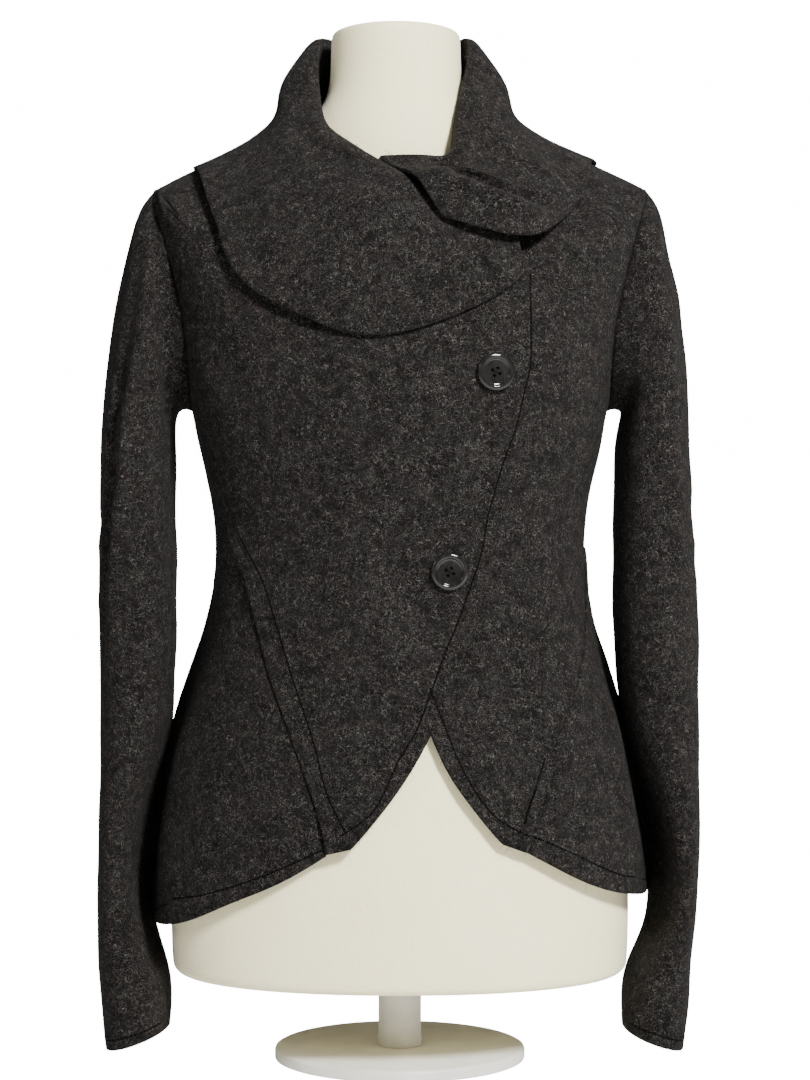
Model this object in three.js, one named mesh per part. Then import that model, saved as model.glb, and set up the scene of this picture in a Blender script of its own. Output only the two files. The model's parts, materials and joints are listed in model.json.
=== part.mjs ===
// Cropped wrap jacket in boiled wool, worn by a limbless dress form on a low round stand.
// Millimetres, +Z up, the front faces -Y. The origin is the centre of the underside of the stand.
import * as THREE from 'three';

// Cloth
const WALL = 2.6;
const SEAM_GAP = 0.3;
const LAP_LIFT = WALL + 1.1;
const BAND_WALL = 1.5;
const BAND_WIDTH = 9.5;
const BAND_START = 3;

// Torso columns: level names a ring and is its height below the armpit
const BODY_RINGS = [
  { level: 60, half: 186, front: 137, back: 142,
    zFront: 60, zSide: 60, zBack: 60, square: 2.2, ease: 9 },
  { level: 106, half: 188, front: 137, back: 141,
    zFront: 106, zSide: 106, zBack: 106, square: 2.2, ease: 9 },
  { level: 165, half: 186, front: 134, back: 134,
    zFront: 165, zSide: 165, zBack: 165, square: 2.2, ease: 8 },
  { level: 205, half: 179, front: 129, back: 126,
    zFront: 205, zSide: 205, zBack: 205, square: 2.25, ease: 7 },
  { level: 240, half: 172, front: 123, back: 117,
    zFront: 240, zSide: 240, zBack: 240, square: 2.25, ease: 6 },
  { level: 270, half: 165, front: 117, back: 109,
    zFront: 270, zSide: 270, zBack: 270, square: 2.3, ease: 5 },
  { level: 300, half: 154, front: 112, back: 102,
    zFront: 300, zSide: 300, zBack: 300, square: 2.3, ease: 5 },
  { level: 342, half: 144, front: 109, back: 95,
    zFront: 342, zSide: 342, zBack: 342, square: 2.35, ease: 4 },
  { level: 385, half: 141, front: 109, back: 92,
    zFront: 385, zSide: 385, zBack: 385, square: 2.35, ease: 4 },
  { level: 435, half: 146, front: 115, back: 95,
    zFront: 435, zSide: 435, zBack: 435, square: 2.4, ease: 5 },
  { level: 480, half: 157, front: 123, back: 101,
    zFront: 480, zSide: 480, zBack: 480, square: 2.5, ease: 5 },
  { level: 520, half: 162, front: 124, back: 105,
    zFront: 518, zSide: 520, zBack: 520, square: 2.6, ease: 4 },
  { level: 560, half: 168, front: 120, back: 107,
    zFront: 550, zSide: 561, zBack: 560, square: 2.8, ease: 3 },
  { level: 600, half: 177, front: 112, back: 105,
    zFront: 577, zSide: 602, zBack: 599, square: 3.0, ease: 3.4 },
  { level: 635, half: 184, front: 104, back: 100,
    zFront: 595, zSide: 640, zBack: 632, square: 3.1, ease: 3 },
  { level: 662, half: 187, front: 96, back: 93,
    zFront: 608, zSide: 666.5, zBack: 657, square: 3.0, ease: 3.2 },
  { level: 700, half: 146, front: 82, back: 84,
    zFront: 627, zSide: 687.5, zBack: 684, square: 2.6, ease: 1.3 },
  { level: 735, half: 106, front: 70, back: 74,
    zFront: 642, zSide: 702.5, zBack: 705, square: 2.3, ease: 1.2 },
  { level: 760, half: 78, front: 62, back: 66,
    zFront: 652, zSide: 711, zBack: 718, square: 2.1, ease: 2.6 },
];

// Soft flares of the skirt below the waist, as radial swells that fade out upwards
const FLARES = [
  { angle: 62, width: 17, depth: 4, top: 260 },
  { angle: 98, width: 14, depth: 3, top: 230 },
  { angle: 146, width: 15, depth: 7, top: 290 },
  { angle: 192, width: 17, depth: 5, top: 260 },
  { angle: 228, width: 14, depth: 6, top: 280 },
  { angle: 264, width: 13, depth: 3, top: 230 },
  { angle: 300, width: 18, depth: 4, top: 270 },
];

// Armhole: an oval in ring angle and level
const ARMHOLE = { angle: 90, spread: 19, middle: 579, reach: 84, steps: 12 };

// Levels where the pieces end
const NECK_LEVEL = 758;
const SHOULDER_ROWS = 3;
const SEAM_ROWS = 12;

// Lapped seams from the armpit round to the front hem, for each side of the wearer
const LAPPED_RIGHT = [
  { down: 0, angle: 90, level: 495 },
  { down: 0.156, angle: 87, level: 437 },
  { down: 0.349, angle: 63.5, level: 396 },
  { down: 0.463, angle: 55.5, level: 357 },
  { down: 0.579, angle: 48.8, level: 316 },
  { down: 0.704, angle: 40, level: 274 },
  { down: 0.812, angle: 32.5, level: 238 },
  { down: 0.913, angle: 25.5, level: 204 },
  { down: 1, angle: 22, level: 171 },
];
const LAPPED_LEFT = [
  { down: 0, angle: 90, level: 495 },
  { down: 0.156, angle: 94, level: 440 },
  { down: 0.349, angle: 94, level: 388 },
  { down: 0.463, angle: 86, level: 352 },
  { down: 0.579, angle: 73, level: 314 },
  { down: 0.704, angle: 60, level: 273 },
  { down: 0.812, angle: 50, level: 238 },
  { down: 0.913, angle: 42, level: 204 },
  { down: 1, angle: 37.8, level: 171 },
];

// Seam between side and back
const SIDE_BACK_SEAM = [
  { down: 0, angle: 99, level: 506 },
  { down: 0.35, angle: 114, level: 400 },
  { down: 0.65, angle: 121, level: 280 },
  { down: 1, angle: 128, level: 106 },
];

// Front edge of the wearer's right front, from the neck down round the cutaway
const OVERLAP_EDGE = [
  { down: 0, angle: 46, level: 641 },
  { down: 0.11, angle: 47.3, level: 629 },
  { down: 0.222, angle: 47, level: 610 },
  { down: 0.333, angle: 46.2, level: 583 },
  { down: 0.444, angle: 45, level: 540 },
  { down: 0.556, angle: 43, level: 498 },
  { down: 0.625, angle: 38.8, level: 442 },
  { down: 0.711, angle: 35.3, level: 386 },
  { down: 0.762, angle: 31, level: 360 },
  { down: 0.813, angle: 26.6, level: 331 },
  { down: 0.868, angle: 17, level: 281 },
  { down: 0.916, angle: 5.2, level: 232 },
  { down: 0.961, angle: -7.3, level: 195 },
  { down: 1, angle: -14.5, level: 175 },
];

// Front edge of the wearer's left front: hidden under the lap, then the cutaway
const UNDERLAP_EDGE = [
  { down: 0, angle: -14, level: 758 },
  { down: 0.11, angle: -13, level: 700 },
  { down: 0.333, angle: -11, level: 583 },
  { down: 0.556, angle: -8, level: 496 },
  { down: 0.625, angle: -6, level: 436 },
  { down: 0.711, angle: -3, level: 375 },
  { down: 0.762, angle: 0, level: 335 },
  { down: 0.813, angle: 4.5, level: 294 },
  { down: 0.868, angle: 10, level: 260 },
  { down: 0.916, angle: 15, level: 231 },
  { down: 0.961, angle: 22.5, level: 204 },
  { down: 1, angle: 30.7, level: 178 },
];

// Neck edge of the upper front by ring angle, where the wide collar is sewn on
const NECK_EDGE = [
  { angle: -180, level: 758 },
  { angle: -40, level: 758 },
  { angle: -23, level: 755 },
  { angle: -8, level: 742 },
  { angle: 6, level: 722 },
  { angle: 17, level: 698 },
  { angle: 28, level: 674 },
  { angle: 36, level: 657 },
  { angle: 46, level: 641 },
];

// Hem height by ring angle
const HEM_RIGHT = [
  { angle: 0, level: 176 },
  { angle: 21, level: 171 },
  { angle: 35, level: 148 },
  { angle: 49, level: 133 },
  { angle: 60, level: 116 },
  { angle: 75, level: 108 },
  { angle: 90, level: 106 },
  { angle: 128, level: 106 },
];
const HEM_LEFT = [
  { angle: 30, level: 178 },
  { angle: 38, level: 171 },
  { angle: 43, level: 162 },
  { angle: 51, level: 150 },
  { angle: 60, level: 139 },
  { angle: 70, level: 133 },
  { angle: 80, level: 129 },
  { angle: 127.4, level: 122.3 },
];
const HEM_BACK = [
  { angle: 100, level: 106 },
  { angle: 128, level: 106 },
  { angle: 180, level: 102 },
];

// Sleeve sections, wearer's right: outer and inner point in the front view, and depths.
// tuck is how far the back of the section turns in behind the body.
const SLEEVE_RINGS = [
  { outX: 197, outZ: 656, inX: 164, inZ: 497, front: 61, back: 62, mid: 0, tuck: 0 },
  { outX: 204, outZ: 640, inX: 168, inZ: 496.5, front: 63, back: 63, mid: 0, tuck: 0 },
  { outX: 209, outZ: 612, inX: 171, inZ: 494, front: 64, back: 64, mid: 0, tuck: 0 },
  { outX: 216, outZ: 577, inX: 173, inZ: 486, front: 65, back: 64, mid: 0, tuck: 0 },
  { outX: 221, outZ: 542, inX: 173.5, inZ: 472, front: 65, back: 63, mid: 0, tuck: 0 },
  { outX: 227, outZ: 500, inX: 173, inZ: 452, front: 64, back: 61, mid: 0, tuck: 0 },
  { outX: 230, outZ: 450, inX: 172.5, inZ: 424, front: 62, back: 59, mid: 0, tuck: 0 },
  { outX: 231, outZ: 395, inX: 171, inZ: 382, front: 59, back: 57, mid: -1, tuck: 0 },
  { outX: 230, outZ: 335, inX: 171.5, inZ: 330, front: 56, back: 54, mid: -3, tuck: 1 },
  { outX: 229, outZ: 280, inX: 173.5, inZ: 280, front: 53, back: 51, mid: -5, tuck: 4 },
  { outX: 229, outZ: 238, inX: 180, inZ: 240, front: 51, back: 49, mid: -7, tuck: 10 },
  { outX: 229, outZ: 200, inX: 193, inZ: 203, front: 50, back: 48, mid: -9, tuck: 15 },
  { outX: 230, outZ: 165, inX: 199, inZ: 168, front: 49, back: 47, mid: -10, tuck: 18 },
  { outX: 230, outZ: 132, inX: 201, inZ: 135, front: 48, back: 46, mid: -11, tuck: 18 },
  { outX: 230, outZ: 98, inX: 197, inZ: 104, front: 47, back: 46, mid: -12, tuck: 14 },
  { outX: 229, outZ: 66, inX: 182, inZ: 76, front: 46, back: 46, mid: -12, tuck: 10 },
  { outX: 228, outZ: 40, inX: 175, inZ: 54, front: 46, back: 46, mid: -12, tuck: 6 },
  { outX: 224, outZ: 11, inX: 176, inZ: 26, front: 46, back: 46, mid: -12, tuck: 0 },
];

// How much further out the same points lie on the wearer's left sleeve, ring by ring
const LEFT_SLEEVE = [
  { out: 0, in: 0 },
  { out: -2, in: 0 },
  { out: -2, in: 0 },
  { out: -2, in: -4 },
  { out: -4, in: -7 },
  { out: -6, in: -8 },
  { out: -7, in: -8 },
  { out: -4.5, in: -8 },
  { out: -1, in: -7.5 },
  { out: 0, in: -6 },
  { out: 0, in: -3 },
  { out: 0, in: 0 },
  { out: -2, in: 2 },
  { out: -3, in: 3 },
  { out: -6, in: 2 },
  { out: -8, in: -2 },
  { out: -8, in: -5 },
  { out: -7, in: -6 },
];

// Long soft folds along a sleeve: where round the section, from and to which ring
const SLEEVE_FOLDS = [
  { turn: 62, width: 13, depth: 3.4, from: 0, peak: 4, to: 9 },
  { turn: 100, width: 14, depth: -2.2, from: 1, peak: 4, to: 8 },
  { turn: 300, width: 16, depth: 2.4, from: 1, peak: 5, to: 10 },
  { turn: 230, width: 13, depth: -2.0, from: 5, peak: 8, to: 12 },
  { turn: 130, width: 12, depth: 1.8, from: 6, peak: 9, to: 13 },
];

// Collar stations from the centre back round the wearer's right to the lap edge.
// seam is where it is sewn on; roll is the top of the fold and drop where it meets the shoulder.
const COLLAR_RIGHT = [
  { seam: 180, round: 10, rollX: 0, rollY: 62, rollZ: 787, dropX: 0, dropY: 90, dropZ: 738,
    edge: 180, level: 622, lift: 6, belly: 2, fold: -5 },
  { seam: 206, round: 10, rollX: -30, rollY: 57, rollZ: 787, dropX: -43, dropY: 82, dropZ: 736,
    edge: 208, level: 634, lift: 6.3, belly: 1, fold: -5 },
  { seam: 234, round: 10, rollX: -55, rollY: 36, rollZ: 787, dropX: -79, dropY: 53, dropZ: 731,
    edge: 236, level: 660, lift: 6.3, belly: -1, fold: -5 },
  { seam: 256, round: 10, rollX: -64, rollY: 14, rollZ: 785, dropX: -94, dropY: 20, dropZ: 722,
    edge: 258, level: 686, lift: 5.2, belly: -3, fold: -6 },
  { seam: 272, round: 10, rollX: -67, rollY: -5, rollZ: 774, dropX: -95, dropY: -8, dropZ: 719,
    edge: 283.5, level: 690.8, lift: 5.2, belly: -4, fold: -6 },
  { seam: 288, round: 9, rollX: -67, rollY: -24, rollZ: 749, dropX: -95, dropY: -34, dropZ: 709,
    edge: 294.9, level: 679.1, lift: 5.2, belly: -3, fold: -4 },
  { seam: 303, round: 7, rollX: -63, rollY: -43, rollZ: 723, dropX: -91, dropY: -62, dropZ: 690,
    edge: 302.9, level: 658.4, lift: 5.2, belly: 0, fold: -2 },
  { seam: 318, round: 6, rollX: -54, rollY: -60, rollZ: 705, dropX: -80, dropY: -88, dropZ: 669,
    edge: 307.7, level: 623.3, lift: 5.2, belly: 3, fold: -1 },
  { seam: 330, round: 5.5, rollX: -43, rollY: -71, rollZ: 695, dropX: -64, dropY: -101, dropZ: 657,
    edge: 314.7, level: 595.2, lift: 5.2, belly: 6, fold: 0 },
  { seam: 342, round: 5.5, rollX: -26, rollY: -80, rollZ: 683, dropX: -42, dropY: -110, dropZ: 647,
    edge: 328.3, level: 570.2, lift: 6, belly: 6, fold: 0 },
  { seam: 354, round: 5.5, rollX: -10, rollY: -87, rollZ: 673, dropX: -19, dropY: -115, dropZ: 638,
    edge: 343.2, level: 551.9, lift: 6, belly: 6, fold: 0 },
  { seam: 366, round: 5.5, rollX: 6, rollY: -91, rollZ: 663, dropX: 2, dropY: -116, dropZ: 630,
    edge: 357, level: 551.8, lift: 6, belly: 6, fold: 0 },
  { seam: 376, round: 5.5, rollX: 20, rollY: -95, rollZ: 649, dropX: 22, dropY: -117, dropZ: 620,
    edge: 370, level: 560.5, lift: 6, belly: 5, fold: 0 },
  { seam: 387, round: 5, rollX: 42, rollY: -99, rollZ: 635, dropX: 44, dropY: -116, dropZ: 611,
    edge: 382.5, level: 575, lift: 6.5, belly: 4, fold: 0 },
  { seam: 396, round: 5, rollX: 64, rollY: -101, rollZ: 627, dropX: 67, dropY: -115, dropZ: 606,
    edge: 393, level: 592.5, lift: 6.5, belly: 3, fold: 0 },
  { seam: 403, round: 5, rollX: 85, rollY: -101, rollZ: 621, dropX: 88, dropY: -109, dropZ: 607,
    edge: 403, level: 624, lift: 6.5, belly: 2, fold: 0 },
];

// Collar stations from the centre back round the wearer's left to the turned-out end
const COLLAR_LEFT = [
  { seam: 180, round: 10, rollX: 0, rollY: 62, rollZ: 787, dropX: 0, dropY: 90, dropZ: 738,
    edge: 180, level: 622, lift: 6, belly: 2, fold: -5 },
  { seam: 154, round: 9, rollX: 26, rollY: 57, rollZ: 787, dropX: 41, dropY: 82, dropZ: 736,
    edge: 152, level: 634, lift: 6.3, belly: 1, fold: -5 },
  { seam: 126, round: 8, rollX: 49, rollY: 36, rollZ: 787, dropX: 73, dropY: 53, dropZ: 731,
    edge: 124, level: 660, lift: 6.3, belly: -1, fold: -5 },
  { seam: 104, round: 9, rollX: 56, rollY: 14, rollZ: 785, dropX: 86, dropY: 20, dropZ: 725,
    edge: 102, level: 690, lift: 4.5, belly: -3, fold: -6 },
  { seam: 86, round: 9, rollX: 57, rollY: -6, rollZ: 769, dropX: 88, dropY: -8, dropZ: 719,
    edge: 83, level: 700, lift: 3.9, belly: -4, fold: -6 },
  { seam: 70, round: 8, rollX: 52, rollY: -25, rollZ: 746, dropX: 88, dropY: -34, dropZ: 707,
    edge: 72, level: 693, lift: 3.9, belly: -3, fold: -4 },
  { seam: 58, round: 7, rollX: 47, rollY: -42, rollZ: 724, dropX: 91, dropY: -64, dropZ: 682,
    edge: 62, level: 682, lift: 7, belly: 1, fold: -2 },
  { seam: 47, round: 5, rollX: 44, rollY: -56, rollZ: 704, dropX: 94, dropY: -86, dropZ: 655,
    edge: 52, level: 664.4, lift: 13, belly: 2, fold: 4 },
  { seam: 37, round: 5, rollX: 42, rollY: -65, rollZ: 692, dropX: 81, dropY: -98, dropZ: 659,
    edge: 45.8, level: 652.2, lift: 20, belly: 2, fold: 8 },
  { seam: 28, round: 5, rollX: 39, rollY: -72, rollZ: 685, dropX: 63, dropY: -103, dropZ: 665,
    edge: 40, level: 650.7, lift: 24, belly: 2, fold: 8 },
  { seam: 20, round: 5, rollX: 34, rollY: -76, rollZ: 680, dropX: 46, dropY: -102, dropZ: 671,
    edge: 34.1, level: 655.1, lift: 26, belly: 2, fold: 5 },
  { seam: 11, round: 5, rollX: 10, rollY: -75, rollZ: 681, dropX: 29, dropY: -104, dropZ: 666,
    edge: 26.6, level: 666.9, lift: 27, belly: 1, fold: 1 },
  { seam: 3, round: 5, rollX: -14, rollY: -71, rollZ: 681, dropX: 12, dropY: -103, dropZ: 663,
    edge: 19.3, level: 674.3, lift: 27, belly: 0, fold: 0 },
];
const ROLL_RADIUS = 5;
const SEAT_STEP = 1.8;
const SEAT_STEP_FRONT = 7;
const COLLAR_PLACES = [
  0, 0.1, 0.19, 0.25, 0.3125, 0.375, 0.4375, 0.5,
  0.5625, 0.625, 0.6875, 0.75, 0.8125, 0.875, 0.94, 1,
];

// Buttons on the lap: centre, and how far the underside stands off the cloth
const BUTTONS = [
  { name: 'button_upper', x: 69, z: 518, seat: 0.15 },
  { name: 'button_lower', x: 36, z: 374, seat: 0.65 },
];
const BUTTON = { radius: 13.8, thick: 4.2, rim: 2.4, dish: 1.4, sides: 28 };

// Dress form
const FORM = { bottom: 67, edge: 9, neckTop: 787, neckX: -3, sides: 40 };
const NECK_RINGS = [
  { z: 730, half: 56, front: 52, back: 54, lean: 5 },
  { z: 745, half: 51, front: 50, back: 49, lean: 3 },
  { z: 764, half: 50, front: 52, back: 46, lean: 0 },
  { z: 784, half: 50, front: 55, back: 45, lean: 0 },
];
const STAND = { radius: 96, thick: 9, chamfer: 2, pole: 17, sides: 48 };

const WOOL = { color: 0x34302d, roughness: 0.95, metalness: 0 };
const HORN = { color: 0x2c2826, roughness: 0.28, metalness: 0 };
const COVER = { color: 0xe2e0d4, roughness: 0.75, metalness: 0 };
const PAINT = { color: 0xd9d7cf, roughness: 0.45, metalness: 0.1 };

const RAD = Math.PI / 180;

function vec(x, y, z) {
  return new THREE.Vector3(x, y, z);
}

function ease(t) {
  const s = Math.min(1, Math.max(0, t));
  return s * s * (3 - 2 * s);
}

// A smooth value of one column of a table, at a place given in another column
function slope(rows, key, column, i) {
  const a = rows[Math.max(0, i - 1)];
  const b = rows[Math.min(rows.length - 1, i + 1)];
  return (b[column] - a[column]) / (b[key] - a[key]);
}

function look(rows, key, at, column) {
  const last = rows.length - 1;
  const up = rows[last][key] > rows[0][key];
  const low = up ? rows[0][key] : rows[last][key];
  const high = up ? rows[last][key] : rows[0][key];
  const place = Math.min(high, Math.max(low, at));
  let i = 0;
  while (i < last - 1 && (up ? place > rows[i + 1][key] : place < rows[i + 1][key])) i += 1;
  const a = rows[i];
  const b = rows[i + 1];
  const span = b[key] - a[key];
  const t = (place - a[key]) / span;
  const h00 = 2 * t ** 3 - 3 * t ** 2 + 1;
  const h10 = t ** 3 - 2 * t ** 2 + t;
  const h01 = 3 * t ** 2 - 2 * t ** 3;
  const h11 = t ** 3 - t ** 2;
  const rise = h10 * slope(rows, key, column, i) + h11 * slope(rows, key, column, i + 1);
  return h00 * a[column] + h01 * b[column] + rise * span;
}

function turnBetween(a, b) {
  return ((((a - b) % 360) + 540) % 360) - 180;
}

function flare(angle, level) {
  let swell = 0;
  for (const fold of FLARES) {
    const off = turnBetween(angle, fold.angle) / fold.width;
    const down = ease((fold.top - level) / (fold.top - 100));
    swell += fold.depth * Math.exp(-off * off) * down;
  }
  return swell;
}

// A point of the body surface. Angle 0 is the front and 90 the wearer's left.
function bodyPoint(angle, level, bare = false) {
  const s = Math.sin(angle * RAD);
  const c = Math.cos(angle * RAD);
  const half = look(BODY_RINGS, 'level', level, 'half');
  const depth = look(BODY_RINGS, 'level', level, c > 0 ? 'front' : 'back');
  const power = look(BODY_RINGS, 'level', level, 'square');
  const sum = Math.abs(s / half) ** power + Math.abs(c / depth) ** power;
  const reach = sum ** (-1 / power) + (bare ? 0 : flare(angle, level));
  const x = reach * s;
  const y = -reach * c;
  const side = look(BODY_RINGS, 'level', level, 'zSide');
  const end = look(BODY_RINGS, 'level', level, c > 0 ? 'zFront' : 'zBack');
  const part = Math.min(1, Math.abs(y / depth)) ** 2;
  return vec(x, y, side + (end - side) * part);
}

function bodyNormal(angle, level, bare = false) {
  const right = bodyPoint(angle + 0.4, level, bare);
  const left = bodyPoint(angle - 0.4, level, bare);
  const above = bodyPoint(angle, level + 0.8, bare);
  const below = bodyPoint(angle, level - 0.8, bare);
  return right.sub(left).cross(above.sub(below)).normalize();
}

function body(angle, level, lift = 0, bare = false) {
  const point = bodyPoint(angle, level, bare);
  return point.addScaledVector(bodyNormal(angle, level, bare), lift);
}

// Rise of the upper front where it lies over the under front
function lapLift(angle) {
  const turn = turnBetween(angle, 0);
  return LAP_LIFT * ease((turn + 30) / 12);
}

// Meshes
function meshOf(name, points, faces, finish) {
  let volume = 0;
  for (const [a, b, c] of faces) {
    volume += points[a].dot(points[b].clone().cross(points[c]));
  }
  const flat = [];
  for (const [a, b, c] of faces) {
    const order = volume > 0 ? [a, b, c] : [a, c, b];
    flat.push(...order);
  }
  const geometry = new THREE.BufferGeometry();
  const data = new Float32Array(points.flatMap((p) => [p.x, p.y, p.z]));
  geometry.setAttribute('position', new THREE.BufferAttribute(data, 3));
  geometry.setIndex(flat);
  geometry.computeVertexNormals();
  const mesh = new THREE.Mesh(geometry, new THREE.MeshStandardMaterial(finish));
  mesh.name = name;
  return mesh;
}

function quad(faces, a, b, c, d) {
  faces.push([a, b, c], [a, c, d]);
}

// A wall between two sheets of points of the same rows and columns
function wallBetween(name, outer, inner, finish, loop = false) {
  const rows = outer.length;
  const cols = outer[0].length;
  const points = [...outer.flat(), ...inner.flat()];
  const at = (side, i, j) => side * rows * cols + i * cols + (j % cols);
  const faces = [];
  const span = loop ? cols : cols - 1;
  for (let i = 0; i < rows - 1; i += 1) {
    for (let j = 0; j < span; j += 1) {
      quad(faces, at(0, i, j), at(0, i, j + 1), at(0, i + 1, j + 1), at(0, i + 1, j));
      quad(faces, at(1, i, j), at(1, i + 1, j), at(1, i + 1, j + 1), at(1, i, j + 1));
    }
  }
  for (let j = 0; j < span; j += 1) {
    quad(faces, at(0, 0, j), at(1, 0, j), at(1, 0, j + 1), at(0, 0, j + 1));
    const last = rows - 1;
    quad(faces, at(0, last, j), at(0, last, j + 1), at(1, last, j + 1), at(1, last, j));
  }
  if (!loop) {
    for (let i = 0; i < rows - 1; i += 1) {
      quad(faces, at(0, i, 0), at(0, i + 1, 0), at(1, i + 1, 0), at(1, i, 0));
      const end = cols - 1;
      quad(faces, at(0, i, end), at(1, i, end), at(1, i + 1, end), at(0, i + 1, end));
    }
  }
  return meshOf(name, points, faces, finish);
}

// Directions square to a sheet of points
function sheetNormals(sheet, loop = false) {
  const rows = sheet.length;
  const cols = sheet[0].length;
  return sheet.map((row, i) => row.map((point, j) => {
    const up = sheet[Math.max(0, i - 1)][j];
    const down = sheet[Math.min(rows - 1, i + 1)][j];
    const left = loop ? row[(j + cols - 1) % cols] : row[Math.max(0, j - 1)];
    const right = loop ? row[(j + 1) % cols] : row[Math.min(cols - 1, j + 1)];
    const along = down.clone().sub(up);
    const across = right.clone().sub(left);
    return across.cross(along).normalize();
  }));
}

function shifted(sheet, normals, by) {
  return sheet.map((row, i) => row.map((p, j) => p.clone().addScaledVector(normals[i][j], by)));
}

// The armhole, turn 0 at the shoulder, 90 in front, 180 at the armpit
function armhole(turn) {
  return {
    angle: ARMHOLE.angle - ARMHOLE.spread * Math.sin(turn * RAD),
    level: ARMHOLE.middle + ARMHOLE.reach * Math.cos(turn * RAD),
  };
}

function armholeTurn(i) {
  return (180 * i) / ARMHOLE.steps;
}

// Outboard edge of a front, from the neck over the shoulder, round the armhole, down the seam
function frontOuterEdge(seam) {
  const edge = [];
  const top = armhole(0);
  for (let i = 0; i < SHOULDER_ROWS; i += 1) {
    const t = i / SHOULDER_ROWS;
    edge.push({ angle: top.angle, level: NECK_LEVEL + (top.level - NECK_LEVEL) * t });
  }
  for (let i = 0; i <= ARMHOLE.steps; i += 1) edge.push(armhole(armholeTurn(i)));
  for (let i = 1; i <= SEAM_ROWS; i += 1) edge.push(pick(seam, i / SEAM_ROWS));
  return edge;
}

function pick(rows, down) {
  return {
    angle: look(rows, 'down', down, 'angle'),
    level: look(rows, 'down', down, 'level'),
  };
}

// Moves an edge square to itself along the cloth by a length
function nudged(edge, by) {
  const last = edge.length - 1;
  const radius = (spot) => {
    const p = bodyPoint(spot.angle, spot.level);
    return Math.hypot(p.x, p.y) * RAD;
  };
  return edge.map((spot, i) => {
    const before = edge[Math.max(0, i - 1)];
    const after = edge[Math.min(last, i + 1)];
    const unit = radius(spot);
    const run = (after.angle - before.angle) * unit;
    const fall = after.level - before.level;
    const length = Math.hypot(run, fall);
    return {
      angle: spot.angle - ((fall / length) * by) / unit,
      level: spot.level + (run / length) * by,
    };
  });
}

// A panel ruled between two edges, first at the greater angle; side -1 is the wearer's right
function ruled(first, second, side, top, hem) {
  const a = nudged(first, -SEAM_GAP / 2);
  const b = nudged(second, SEAM_GAP / 2);
  const last = first.length - 1;
  return (i, u) => {
    const blend = (k, key) => first[k][key] + (second[k][key] - first[k][key]) * u;
    const angle = (a[i].angle + (b[i].angle - a[i].angle) * u) * side;
    let level = a[i].level + (b[i].level - a[i].level) * u;
    if (hem) {
      const end = look(hem, 'angle', blend(last, 'angle'), 'level');
      level += (end - blend(last, 'level')) * (i / last) ** 6;
    }
    if (top) {
      const start = look(top, 'angle', angle, 'level');
      level += (start - blend(0, 'level')) * (1 - i / last) ** 8;
    }
    return { angle, level };
  };
}

function panel(name, spots, rows, columns, lift) {
  const outer = [];
  const inner = [];
  for (let i = 0; i < rows; i += 1) {
    const outRow = [];
    const inRow = [];
    for (let j = 0; j <= columns; j += 1) {
      const { angle, level } = spots(i, j / columns);
      const raise = lift ? lift(angle) : 0;
      outRow.push(body(angle, level, raise));
      inRow.push(body(angle, level, raise - WALL));
    }
    outer.push(outRow);
    inner.push(inRow);
  }
  return wallBetween(name, outer, inner, WOOL);
}

function frontSpots(side) {
  const outer = frontOuterEdge(side < 0 ? LAPPED_RIGHT : LAPPED_LEFT);
  const last = outer.length - 1;
  const inner = outer.map((_, i) => {
    const spot = pick(side < 0 ? OVERLAP_EDGE : UNDERLAP_EDGE, i / last);
    return { angle: spot.angle * side, level: spot.level };
  });
  return { spots: ruled(outer, inner, side, side < 0 ? NECK_EDGE : null, null), rows: last + 1 };
}

function rightFront() {
  const { spots, rows } = frontSpots(-1);
  return panel('right_front', spots, rows, 15, lapLift);
}

function leftFront() {
  const { spots, rows } = frontSpots(1);
  return panel('left_front', spots, rows, 11, null);
}

function sidePanel(name, side, hem, stop) {
  const front = [];
  const back = [];
  for (let i = 0; i <= SEAM_ROWS; i += 1) {
    front.push(pick(side < 0 ? LAPPED_RIGHT : LAPPED_LEFT, i / SEAM_ROWS));
    back.push(pick(SIDE_BACK_SEAM, (stop * i) / SEAM_ROWS));
  }
  back[0] = armhole(armholeTurn(14));
  return panel(name, ruled(back, front, side, null, hem), SEAM_ROWS + 1, 8, null);
}

function backPanel(name, side) {
  const outer = [];
  const top = armhole(0);
  for (let i = 0; i < SHOULDER_ROWS; i += 1) {
    outer.push({ angle: 90, level: NECK_LEVEL + ((top.level - NECK_LEVEL) * i) / SHOULDER_ROWS });
  }
  for (let i = 24; i >= 14; i -= 1) outer.push(armhole(armholeTurn(i)));
  for (let i = 1; i <= SEAM_ROWS; i += 1) outer.push(pick(SIDE_BACK_SEAM, i / SEAM_ROWS));
  const last = outer.length - 1;
  const centre = outer.map((_, i) => ({
    angle: 180,
    level: NECK_LEVEL + (HEM_BACK[2].level - NECK_LEVEL) * (i / last) ** 1.15,
  }));
  return panel(name, ruled(centre, outer, side, null, HEM_BACK), last + 1, 9, null);
}

// Raised band along a lapped seam, on the front panel's own rows
function seamBand(name, side) {
  const { spots, rows } = frontSpots(side);
  const outer = [];
  const inner = [];
  for (let i = rows - SEAM_ROWS + BAND_START; i < rows; i += 1) {
    const start = spots(i, 0);
    const end = spots(i, 0.1);
    const length = bodyPoint(start.angle, start.level).distanceTo(bodyPoint(end.angle, end.level));
    const outRow = [];
    const inRow = [];
    for (let j = 0; j <= 2; j += 1) {
      const { angle, level } = spots(i, ((BAND_WIDTH * 0.1) / length) * (j / 2));
      const base = (side < 0 ? lapLift(angle) : 0) + SEAM_GAP;
      outRow.push(body(angle, level, base + BAND_WALL));
      inRow.push(body(angle, level, base));
    }
    outer.push(outRow);
    inner.push(inRow);
  }
  return wallBetween(name, outer, inner, WOOL);
}

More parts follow.
